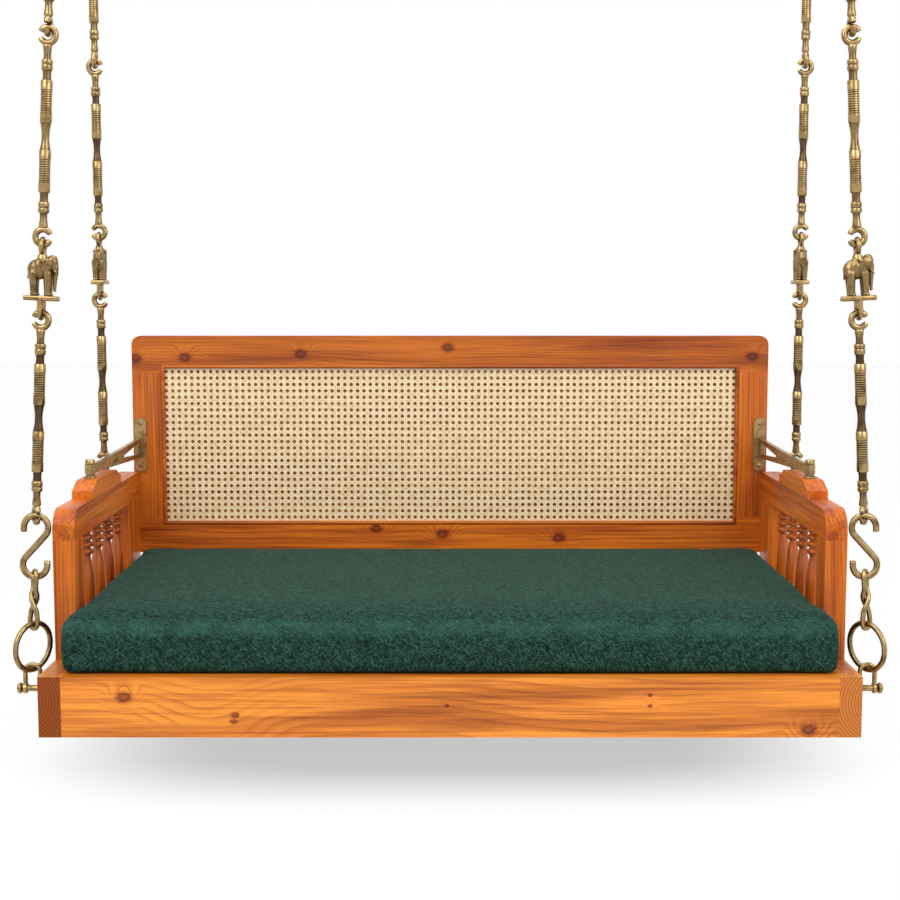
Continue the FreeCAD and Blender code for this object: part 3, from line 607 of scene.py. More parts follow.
@dataclass(frozen=True)
class TeakFinish:
    """Oiled golden teak: growth rings cut lengthways, knots that the grain flows round, fine pores."""

    gold: Colour = (0.78, 0.268, 0.026, 1.0)
    amber: Colour = (0.53, 0.138, 0.007, 1.0)
    brown: Colour = (0.25, 0.056, 0.003, 1.0)
    fibre_shade: Colour = (0.54, 0.40, 0.30, 1.0)
    streak_shade: Colour = (0.54, 0.36, 0.21, 1.0)
    ring_spacing: float = 0.0068
    heart: Point = (0.11, 0.07, 0.0)
    roughness: float = 0.40
    coat: float = 0.08
    knot_reach: float = 4.6
    knot_push: float = 3.2
    drift: Grain = (13.0, 0.13, 5.0)
    patches: Grain = (21.0, 0.22, 3.0)
    fibre: Grain = (210.0, 0.020, 6.0)
    streak: Grain = (36.0, 0.040, 5.0)

    def make(
        self, name: str, axis: Axis, shift: float, tone: Colour, knots: Sequence[Knot] = ()
    ) -> bpy.types.Material:
        """Build the finish for one member.

        Args:
            name: The material's name.
            axis: The direction of the grain.
            shift: Where in the log the member was cut.
            tone: What the timber's colour is multiplied by.
            knots: The knots that show on it.

        Returns:
            The material.
        """
        nodes = new_finish(name)
        gold, amber = self.gold, self.amber
        offset = (self.heart[0] + 0.013 * math.sin(shift * 5), self.heart[1] + 0.02 * math.cos(shift * 3), shift)
        rings = self.rings(nodes, nodes.placed(shift=offset, turn=axis.value), self.distance(nodes, axis, knots))
        figure = nodes.ramp(rings, [(0.0, gold), (0.42, gold), (0.80, amber), (0.95, self.brown), (1.0, gold)])
        body = nodes.ramp(self.drawn_out(nodes, axis, shift, self.drift), [(0.38, amber), (0.56, gold)])
        patches = self.drawn_out(nodes, axis, shift + 11.0, self.patches)
        colour = nodes.mix(nodes.span(patches, 0.36, 0.62, 0.06, 0.52), body, figure)
        fibre = self.drawn_out(nodes, axis, shift + 3.0, self.fibre)
        fibres = nodes.ramp(fibre, [(0.32, self.fibre_shade), (0.54, WHITE)])
        streak = self.drawn_out(nodes, axis, shift + 7.0, self.streak)
        streaks = nodes.ramp(streak, [(0.38, self.streak_shade), (0.49, WHITE)])
        colour = nodes.mix(0.72, colour, fibres, "MULTIPLY")
        colour = nodes.mix(0.66, colour, streaks, "MULTIPLY")
        dark = [knot for knot in knots if knot.dark]
        if dark:
            colour = nodes.mix(0.94, colour, self.core(nodes, self.distance(nodes, axis, dark)), "MULTIPLY")
        return nodes.surface(
            Base_Color=nodes.mix(1.0, colour, tone, "MULTIPLY"),
            Roughness=nodes.span(fibre, 0.0, 1.0, self.roughness + 0.10, self.roughness - 0.05),
            Coat_Weight=self.coat,
            Coat_Roughness=0.22,
            Specular_IOR_Level=0.3,
            Normal=nodes.bump(nodes.math("MULTIPLY_ADD", rings, 0.25, fibre), 0.20, 0.0006),
        )

    def drawn_out(self, nodes: Nodes, axis: Axis, shift: float, grain: Grain) -> Socket:
        """A noise drawn out along the grain.

        Args:
            nodes: The material's nodes.
            axis: The direction of the grain.
            shift: Where in the log the member was cut.
            grain: How fine it is across the grain, its scale along it as a share of that, and its detail.

        Returns:
            The noise value.
        """
        scale, share, detail = grain
        place = nodes.placed((1.0, 1.0, share), (shift, shift * 0.7, shift * 1.3), axis.value)
        return nodes.noise(place, scale, Detail=detail)

    def rings(self, nodes: Nodes, place: Socket, apart: Socket | None) -> Socket:
        """Growth rings round the log's heart, wavy along the grain and pushed aside by knots.

        Args:
            nodes: The material's nodes.
            place: Coordinates with the heart on the Z axis.
            apart: The distance to the nearest knot in knot radii, or None where there is none.

        Returns:
            A saw-tooth value, one tooth for each ring.
        """
        wave = nodes.noise(nodes.vector("MULTIPLY", place, (7.0, 7.0, 1.5)), 1.0, Detail=2.5)
        radius = nodes.vector("LENGTH", nodes.vector("MULTIPLY", place, (1.0, 1.0, 0.0)))
        waved = nodes.math("MULTIPLY_ADD", wave, 7.0, nodes.math("DIVIDE", radius, self.ring_spacing))
        if apart is not None:
            near = nodes.span(apart, self.knot_reach, 0.0, 0.0, 1.0, eased=True)
            waved = nodes.math("MULTIPLY_ADD", near, self.knot_push, waved)
        return nodes.math("FRACT", waved)

    def distance(self, nodes: Nodes, axis: Axis, knots: Sequence[Knot]) -> Socket | None:
        """How far a point is from the nearest knot, in knot radii, longer along the grain.

        Args:
            nodes: The material's nodes.
            axis: The direction of the grain.
            knots: The knots.

        Returns:
            The distance, or None where there is no knot.
        """
        nearest = None
        wide, high = (1.35, 1.0) if axis is Axis.ALONG_X else (1.0, 1.35)
        for knot in knots:
            scale = (1 / (knot.radius * wide), 0.0, 1 / (knot.radius * high))
            here = nodes.vector("LENGTH", nodes.placed(scale, (-knot.x * scale[0], 0.0, -knot.z * scale[2])))
            nearest = here if nearest is None else nodes.math("MINIMUM", nearest, here)
        return nearest

    def core(self, nodes: Nodes, apart: Socket) -> Socket:
        """The dark heart of a knot, with a ragged edge.

        Args:
            nodes: The material's nodes.
            apart: The distance to the nearest dark knot in knot radii.

        Returns:
            The shade to multiply by.
        """
        rough = nodes.noise(nodes.placed(), 190.0, Detail=4.0)
        ragged = nodes.math("MULTIPLY_ADD", rough, 0.56, nodes.math("MULTIPLY_ADD", apart, 0.5, -0.28))
        stops = [
            (0.0, (0.48, 0.32, 0.16, 1.0)),
            (0.22, (0.38, 0.22, 0.10, 1.0)),
            (0.40, (0.21, 0.10, 0.035, 1.0)),
            (0.52, (0.44, 0.28, 0.14, 1.0)),
            (0.74, (0.86, 0.74, 0.60, 1.0)),
            (1.0, WHITE),
        ]
        return nodes.ramp(ragged, stops)


@dataclass(frozen=True)
class EndGrainFinish:
    """The sawn end of a board: darker, with growth rings."""

    ring: Colour = (0.110, 0.020, 0.001, 1.0)
    between: Colour = (0.245, 0.052, 0.003, 1.0)

    def make(self, name: str, heart: Point) -> bpy.types.Material:
        """Build the finish.

        Args:
            name: The material's name.
            heart: The place of the log's heart, which the rings go round.

        Returns:
            The material.
        """
        nodes = new_finish(name)
        place = nodes.placed(shift=tuple(-value for value in heart))
        look = {"wave_type": "RINGS", "rings_direction": "Y", "Scale": 55.0, "Distortion": 1.6, "Detail": 2.0}
        rings = nodes.add("TexWave", Vector=place, **look).outputs["Fac"]
        return nodes.surface(
            Base_Color=nodes.ramp(rings, [(0.0, self.between), (0.7, self.between), (1.0, self.ring)]),
            Roughness=0.6,
            Specular_IOR_Level=0.2,
            Normal=nodes.bump(rings, 0.3, 0.0005),
        )


@dataclass(frozen=True)
class BrassFinish:
    """Antique brass: darkened in the hollows by patina and painted shade, bright on the worn edges."""

    bright: Colour = (0.42, 0.290, 0.125, 1.0)
    worn: Colour = (0.200, 0.126, 0.048, 1.0)
    # The colour of the hollows: patina, and painted shade where light would not reach.
    dark: Colour = (0.045, 0.027, 0.012, 1.0)
    pitting: float = 0.12

    def make(self, name: str, polish: float = 0.0) -> bpy.types.Material:
        """Build the finish.

        Args:
            name: The material's name.
            polish: How much smoother than usual, from 0 to 0.2.

        Returns:
            The material.
        """
        nodes = new_finish(name)
        place = nodes.placed()
        stain = nodes.noise(place, 70.0, Detail=5.0)
        base = nodes.ramp(stain, [(0.30, self.worn), (0.55, self.bright), (0.8, self.bright)])
        # Painted shade and patina: concave places fade to the dark colour, while flat places and worn edges keep the
        # metal's colour.
        edges = nodes.add("NewGeometry").outputs["Pointiness"]
        hollow_shade_and_wear = nodes.ramp(edges, [(0.42, (0.0, 0.0, 0.0, 1.0)), (0.50, (0.55, 0.55, 0.55, 1.0)), (0.56, WHITE)])
        return nodes.surface(
            Base_Color=nodes.mix(hollow_shade_and_wear, self.dark, base),
            Metallic=1.0,
            Roughness=nodes.span(stain, 0.0, 1.0, 0.40 - polish, 0.24 - polish / 2),
            Normal=nodes.bump(nodes.noise(place, 320.0), self.pitting, 0.0005),
        )


@dataclass(frozen=True)
class VelvetFinish:
    """Deep green velvet: mottled pile crossed by thin brushed strokes, with a painted sheen along the front top edge.
    """

    deep: Colour = (0.0009, 0.0066, 0.0046, 1.0)
    body: Colour = (0.0042, 0.0245, 0.0172, 1.0)
    # The lighter pile of the brushed strokes, and also the colour of the painted sheen along the front top edge.
    nap_and_edge_sheen: Colour = (0.040, 0.122, 0.094, 1.0)
    edge_y: float = -0.366
    edge_z: float = 0.196
    edge_width: float = 0.020
    strokes: tuple[tuple[float, float, float, float], ...] = (
        (42.0, 420.0, 78.0, 0.56),
        (-46.0, 400.0, 84.0, 0.59),
        (68.0, 430.0, 92.0, 0.61),
        (-14.0, 420.0, 96.0, 0.62),
    )

    def make(self, name: str) -> bpy.types.Material:
        """Build the finish.

        Args:
            name: The material's name.

        Returns:
            The material.
        """
        nodes = new_finish(name)
        place = self.over_the_edge(nodes)
        patches = nodes.noise(place, 75.0, Detail=5.0, Roughness=0.65)
        colour = nodes.ramp(patches, [(0.36, self.deep), (0.62, self.body)])
        lines = [self.brushed(nodes, place, *stroke) for stroke in self.strokes]
        brushed = lines[0]
        for line in lines[1:]:
            brushed = nodes.math("MAXIMUM", brushed, line)
        colour = nodes.mix(nodes.math("MULTIPLY", brushed, 0.62), colour, self.nap_and_edge_sheen)
        # Painted sheen: the front top edge is lightened towards the sheen colour.
        colour = nodes.mix(nodes.math("MULTIPLY", self.front_edge(nodes, place), 0.46), colour, self.nap_and_edge_sheen)
        return nodes.surface(
            Base_Color=colour,
            Roughness=0.82,
            Sheen_Weight=0.09,
            Sheen_Roughness=0.45,
            Sheen_Tint=(0.30, 0.64, 0.44, 1.0),
            Specular_IOR_Level=0.12,
            Normal=nodes.bump(nodes.math("MULTIPLY_ADD", brushed, 0.8, patches), 0.40, 0.0012),
        )

    def over_the_edge(self, nodes: Nodes) -> Socket:
        """Flat coordinates that run up the front and on over the top, so that strokes go over the edge.

        Args:
            nodes: The material's nodes.

        Returns:
            The vector socket.
        """
        x, y, z = nodes.add("SeparateXYZ", Vector=nodes.object_place()).outputs
        sideways = nodes.math("MULTIPLY_ADD", y, 0.37, nodes.math("MULTIPLY_ADD", z, -0.21, x))
        return nodes.add("CombineXYZ", X=sideways, Y=nodes.math("ADD", y, z)).outputs[0]

    def brushed(self, nodes: Nodes, place: Socket, turn: float, across: float, along: float, least: float) -> Socket:
        """Thin strokes in one direction.

        Args:
            nodes: The material's nodes.
            place: The flat coordinates.
            turn: The strokes' direction in degrees.
            across: How fine they are across.
            along: How fine they are along.
            least: The noise value where a stroke begins.

        Returns:
            1 on a stroke and 0 between them.
        """
        turned = nodes.add("Mapping", Vector=place, Rotation=(0.0, 0.0, math.radians(turn))).outputs["Vector"]
        shift = (turn, turn * 0.7, 0.0)
        stretched = nodes.add("Mapping", Vector=turned, Scale=(along, across, 1.0), Location=shift)
        noise = nodes.noise(stretched.outputs["Vector"], 1.0, Detail=1.5, Distortion=1.1)
        return nodes.span(noise, least, least + 0.07, 0.0, 1.0)

    def front_edge(self, nodes: Nodes, place: Socket) -> Socket:
        """A painted sheen along the front top edge, where the surface turns over.

        Args:
            nodes: The material's nodes.
            place: The flat coordinates.

        Returns:
            1 on the edge, falling to 0 away from it.
        """
        share = 1 / self.edge_width
        shift = (0.0, -self.edge_y / self.edge_width, -self.edge_z / self.edge_width)
        apart = nodes.vector("LENGTH", nodes.placed((0.0, share, share), shift))
        uneven = nodes.noise(place, 22.0, Detail=3.0)
        wavy = nodes.math("MULTIPLY_ADD", uneven, 1.4, nodes.math("SUBTRACT", apart, 0.7))
        return nodes.span(wavy, 1.2, 0.0, 0.0, 1.0, eased=True)


@dataclass(frozen=True)
class CaneFinish:
    """Pale split cane with a slight gloss and darker flecks along each strand."""

    pale: Colour = (0.95, 0.79, 0.52, 1.0)
    straw: Colour = (0.83, 0.62, 0.35, 1.0)

    def make(self, name: str) -> bpy.types.Material:
        """Build the finish.

        Args:
            name: The material's name.

        Returns:
            The material.
        """
        nodes = new_finish(name)
        fleck = nodes.noise(nodes.placed(), 130.0, Detail=3.0)
        colour = nodes.ramp(fleck, [(0.35, self.straw), (0.6, self.pale)])
        return nodes.surface(Base_Color=colour, Roughness=0.42, Normal=nodes.bump(fleck, 0.2, 0.0004))


# Chains


@dataclass
class ChainLayout:
    """Heights and planes of every piece of one chain, from the bench bolt upwards."""

    place: Place
    side: Side
    pin_x: float = 0.786
    pin_height: float = 0.078
    front_y: float = -0.3385
    rear_y: float = 0.3035
    lean_x: float = 0.082
    clearance: float = 0.0003
    crossing_clearance: float = 0.00075
    shackle_top: float = 0.1193
    shackle_half_width: float = 0.014
    shackle_wire: float = 0.004
    ring_outer: float = 0.0485
    ring_wire: float = 0.0045
    ring_turn: float = -60.0
    link_height: float = 0.115
    link_half_width: float = 0.014
    link_wire: float = 0.00375
    hook_height: float = 0.126
    hook_half_width: float = 0.0275
    hook_wire: float = 0.0055
    bar_spacing: float = 0.362
    eye_radius: float = 0.014
    bar_wire: float = 0.006
    adjuster_inner: float = 0.030
    adjuster_wire: float = 0.004
    platform_rise: float = 0.032
    platform_thickness: float = 0.0095
    elephant_height: float = 0.075
    elephant_loop_top: float = 0.0285
    elephant_wire: float = 0.0045
    ceiling_wire: float = 0.005

    def __post_init__(self) -> None:
        """Work out every height by hanging each piece in the one above."""
        plain = self.stack(0.0, False)
        span = plain["eye"] - self.shackle_top
        self.lean = math.atan(self.lean_x / span)
        in_front = self.place is Place.FRONT
        extra = span / math.cos(self.lean) - span if in_front else 0.0
        self.extra = extra
        self.heights = self.stack(extra, in_front)
        self.eye_height = plain["eye"]

    def stack(self, extra: float, in_front: bool) -> dict[str, float]:
        """The height of each piece's lowest wire.

        Args:
            extra: What the adjusting ring of a leaning chain is longer by.
            in_front: Whether the adjusting ring is at the top.

        Returns:
            Heights by the piece's name.
        """
        bar = self.bar_spacing + 2 * self.eye_radius - self.bar_wire
        elephant = self.platform_rise + self.platform_thickness + self.elephant_height + self.elephant_loop_top
        adjuster = ("adjuster", self.adjuster_wire, self.adjuster_wire + self.adjuster_inner)
        pieces = [
            ("link", self.link_wire, self.link_height - 3 * self.link_wire),
            ("hook", self.hook_wire, self.hook_height - 3 * self.hook_wire),
            ("bar_1", self.bar_wire, bar),
            ("elephant", self.elephant_wire, elephant - self.elephant_wire),
            ("bar_2", self.bar_wire, bar),
            ("bar_3", self.bar_wire, bar),
        ]
        pieces = [*pieces, adjuster] if in_front else [adjuster, *pieces]
        low = {"ring": self.shackle_top - self.crossing_clearance - self.ring_wire}
        top = low["ring"] + 2 * (self.ring_outer - self.ring_wire) - self.ring_wire
        for name, wire, inner in pieces:
            low[name] = top - self.clearance - wire
            top = low[name] + inner
        if in_front:
            top += extra
        low["eye"] = top - self.clearance - self.ceiling_wire
        return low

    @property
    def body(self) -> str:
        """The moving body that this chain's pieces ride on."""
        return f"chain_{self.prefix}"

    @property
    def prefix(self) -> str:
        """The start of the names of this chain's pieces."""
        return f"{self.place.value}_{self.side.name.lower()}"

    def matrix(self, turn_degrees: float, height: float, leaning: bool = True) -> Matrix:
        """The place of a piece made upright about the origin.

        Args:
            turn_degrees: Its turn about the chain's own line.
            height: The height of the piece's own origin.
            leaning: Whether the piece leans with the chain.

        Returns:
            The matrix from the piece to the swing.
        """
        y = self.front_y if self.place is Place.FRONT else self.rear_y
        pivot = Matrix.Translation((0.0, 0.0, self.shackle_top))
        lean = self.lean if self.place is Place.FRONT and leaning else 0.0
        upright = Matrix.Translation((0.0, 0.0, height)) @ Matrix.Rotation(math.radians(turn_degrees), 4, "Z")
        leant = pivot @ Matrix.Rotation(-lean, 4, "Y") @ pivot.inverted() @ upright
        return self.side.mirrored(Matrix.Translation((self.pin_x, y, 0.0)) @ leant)


def place_copy(master: bpy.types.Object, name: str, matrix: Matrix) -> bpy.types.Object:
    """Copy a piece with its own mesh and put the copy's place into that mesh.

    Args:
        master: The piece to copy.
        name: The copy's name.
        matrix: The copy's place.

    Returns:
        The copy.
    """
    copy = into_scene(name, master.data.copy())
    copy.data.transform(matrix)
    if matrix.determinant() < 0:
        copy.data.flip_normals()
    copy.data.name = name
    return copy


@dataclass
class ChainForge:
    """Makes one of each kind of chain piece, to be copied onto the four chains."""

    layout: ChainLayout
    rib_count: int = 10
    collar_length: float = 0.020
    waist_length: float = 0.017
    sleeve_length: float = 0.017
    ribbed_length: float = 0.042
    centre_length: float = 0.049
    collar_radius: float = 0.0103
    waist_radius: float = 0.0080
    sleeve_radius: float = 0.0108
    centre_radius: float = 0.0070
    shoulder_radius: float = 0.0098
    rib_low: float = 0.0096
    rib_high: float = 0.0104
    eye_gap: float = 44.0
    neck_radius: float = 0.0072
    recess_radius: float = 0.0100
    stouter_ring: float = 0.0006
    stouter_link: float = 0.0010
    stouter_hook: float = 0.0007
    hook_tip: float = 0.009
    ring_faces: int = 56
    link_steps: int = 96
    twist_start: float = 0.28
    twist_share: float = 0.44

    def bar_profile(self) -> Profile:
        """The turned bar's outline: neck, collar, waist, sleeve, ribs, sleeve, slim middle, and back.

        Returns:
            (radius, height) points from the lower end to the upper, from 0 at the lower collar.
        """
        half: Profile = [(0.0074, -0.0262), (0.0084, -0.0248), (0.0083, -0.0220), (0.0074, -0.0160)]
        half += [(0.0067, -0.0100), (0.0068, -0.0040), (self.neck_radius, 0.0)]
        z = 0.0
        for part in (0.46, 0.54):
            step = self.collar_length * part
            half += [(0.0088, z + 0.0002), (self.collar_radius - 0.0004, z + step * 0.14)]
            half += [(self.collar_radius, z + step * 0.30), (self.collar_radius, z + step * 0.74)]
            half += [(self.collar_radius - 0.0005, z + step * 0.90), (0.0088, z + step)]
            z += step
        half += [(self.waist_radius, z + 0.0006), (self.waist_radius * 0.93, z + self.waist_length / 2)]
        z += self.waist_length
        half += [(self.waist_radius, z - 0.0006), (self.sleeve_radius - 0.0005, z), (self.sleeve_radius, z + 0.0007)]
        z += self.sleeve_length
        half.append((self.sleeve_radius, z))
        pitch = self.ribbed_length / self.rib_count
        for index in range(self.rib_count):
            start = z + index * pitch
            half += [(self.rib_low, start + pitch * 0.06), (self.rib_high, start + pitch * 0.20)]
            half += [(self.rib_high, start + pitch * 0.80), (self.rib_low, start + pitch * 0.94)]
        z += self.ribbed_length
        half += [(self.sleeve_radius, z + 0.0006), (self.sleeve_radius, z + self.sleeve_length - 0.0008)]
        z += self.sleeve_length
        half += [(self.sleeve_radius - 0.0006, z), (self.shoulder_radius, z + 0.0002)]
        for step in range(1, 7):
            share = step / 6
            dip = (self.shoulder_radius - self.centre_radius) * math.sin(share * math.pi / 2)
            half.append((self.shoulder_radius - dip, z + share * self.centre_length / 2))
        whole = 2 * z + self.centre_length
        return half + [(radius, whole - height) for radius, height in reversed(half[:-1])]

    def bar(self, lower_turn: float, upper_turn: float) -> bpy.types.Object:
        """A turned bar with an open hook at each end, its lower eye's centre at the origin.

        Args:
            lower_turn: The turn of the lower hook's plane.
            upper_turn: The turn of the upper hook's plane.

        Returns:
            The bar.
        """
        layout = self.layout
        profile = self.bar_profile()
        base = (layout.bar_spacing - profile[-1][1] - profile[0][1]) / 2
        body = turn_on_lathe("bar_body", [(radius, base + height) for radius, height in profile], 28)
        for label in ("bar_bright", "bar_hollow"):  # two slots, so that joining keeps the hollows apart
            body.data.materials.append(bpy.data.materials.new(label))
        for face in body.data.polygons:
            centre = face.center
            along = min(centre.z, layout.bar_spacing - centre.z) - base
            hollow = Vector((centre.x, centre.y)).length < self.recess_radius
            face.material_index = 1 if hollow and along > self.collar_length else 0
        pieces = [body]
        for centre_z, start, turn in (
            (0.0, self.eye_gap / 2, lower_turn),
            (layout.bar_spacing, self.eye_gap / 2 - 180.0, upper_turn),
        ):
            path = arc((0.0, centre_z), layout.eye_radius, start, start + 360.0 - self.eye_gap, 40)
            taper = [0.72, 0.86, 0.93, 0.97]
            radii = taper + [1.0] * (len(path) - 2 * len(taper)) + taper[::-1]
            hook = bend_wire("bar_hook", path, radii, layout.bar_wire, False)
            hook.data.materials.append(body.data.materials[0])
            hook.data.transform(Matrix.Rotation(math.radians(turn), 4, "Z"))
            pieces.append(hook)
        return join(pieces, f"bar_{int(lower_turn)}_{int(upper_turn)}")

    def ring(self) -> bpy.types.Object:
        """The big welded ring, its lowest wire at the origin."""
        wire = self.layout.ring_wire + self.stouter_ring
        radius = self.layout.ring_outer - self.layout.ring_wire + self.stouter_ring
        ring = torus("ring", radius, wire, (0.0, 0.0, radius), self.ring_faces)
        ring.data.transform(Matrix.Translation((0.0, 0.0, -self.stouter_ring)))
        return ring

    def adjuster(self, extra: float) -> bpy.types.Object:
        """The small ring that sets a chain's height."""
        radius = (self.layout.adjuster_inner + extra) / 2 + self.layout.adjuster_wire
        return torus("adjuster", radius, self.layout.adjuster_wire, (0.0, 0.0, radius), self.ring_faces)

    def twisted_link(self, lower_turn: float, upper_turn: float) -> bpy.types.Object:
        """The long link, pinched and twisted at its waist, its lowest wire at the origin.

        Args:
            lower_turn: The turn of its lower loop.
            upper_turn: The turn of its upper loop.

        Returns:
            The link.
        """
        layout = self.layout
        wire = layout.link_wire + self.stouter_link
        radius = layout.link_half_width - layout.link_wire + self.stouter_link
        height = layout.link_height - 2 * layout.link_wire + 2 * self.stouter_link
        waist_gap = wire * 1.02
        path = []
        for index in range(self.link_steps):
            angle = 2 * math.pi * index / self.link_steps
            z = height / 2 * (1 - math.cos(angle))
            from_end = min(z, height - z)
            bulge = math.sqrt(clamped(min(1.0, from_end / radius) * (2 - min(1.0, from_end / radius))))
            towards = max(0.0, (from_end - radius) / (height / 2 - radius))
            ease = towards * towards * (3 - 2 * towards)
            wide = (radius * bulge) * (1 - ease) + waist_gap * ease
            side = 1 if angle < math.pi else -1
            share = clamped((z / height - self.twist_start) / self.twist_share)
            twist = share * share * (3 - 2 * share)
            turn = math.radians(lower_turn + (upper_turn - lower_turn) * twist)
            path.append((side * wide * math.cos(turn), side * wide * math.sin(turn), z - self.stouter_link))
        return bend_wire("twisted_link", path, [1.0] * len(path), wire, True)

    def s_hook(self) -> bpy.types.Object:
        """The S hook with straight tips, its lowest wire at the origin."""
        layout = self.layout
        more = self.stouter_hook
        radius = layout.hook_half_width - layout.hook_wire + more
        spacing = layout.hook_height - 2 * layout.hook_half_width
        drop = math.degrees(math.asin(2 * radius / spacing))
        lower = arc((0.0, radius - more), radius, 360.0, 180 - drop, 34)
        upper = arc((0.0, radius - more + spacing), radius, -drop, 180.0, 34)
        first, last = lower[0], upper[-1]
        path = [(first[0], 0.0, first[2] + self.hook_tip), (first[0], 0.0, first[2] + self.hook_tip * 0.85)]
        path += lower + upper
        path += [(last[0], 0.0, last[2] - self.hook_tip * 0.85), (last[0], 0.0, last[2] - self.hook_tip)]
        radii = [0.80] + [1.0] * (len(path) - 2) + [0.80]
        return bend_wire("s_hook", path, radii, layout.hook_wire + more, False)

    def shackle(self) -> bpy.types.Object:
        """The U shackle with a round pad at the foot of each leg, in its true height."""
        layout = self.layout
        arch_z = layout.shackle_top - layout.shackle_half_width + layout.shackle_wire
        half = layout.shackle_half_width
        path = [(half, 0.0, layout.pin_height)]
        path += arc((0.0, arch_z), half, 0.0, 180.0, 24)
        path.append((-half, 0.0, layout.pin_height))
        bow = bend_wire("shackle_bow", path, [1.12] * len(path), layout.shackle_wire, False)
        pads = []
        for side in (-1, 1):
            profile = [(0.0085, -0.004), (0.0098, -0.003), (0.0098, 0.003), (0.0085, 0.004)]
            pad = turn_on_lathe("shackle_pad", profile, 32)
            pad.data.transform(Matrix.Rotation(math.pi / 2, 4, "Y"))
            pad.data.transform(Matrix.Translation((side * half, 0.0, layout.pin_height)))
            pads.append(pad)
        return join([bow, *pads], "shackle")


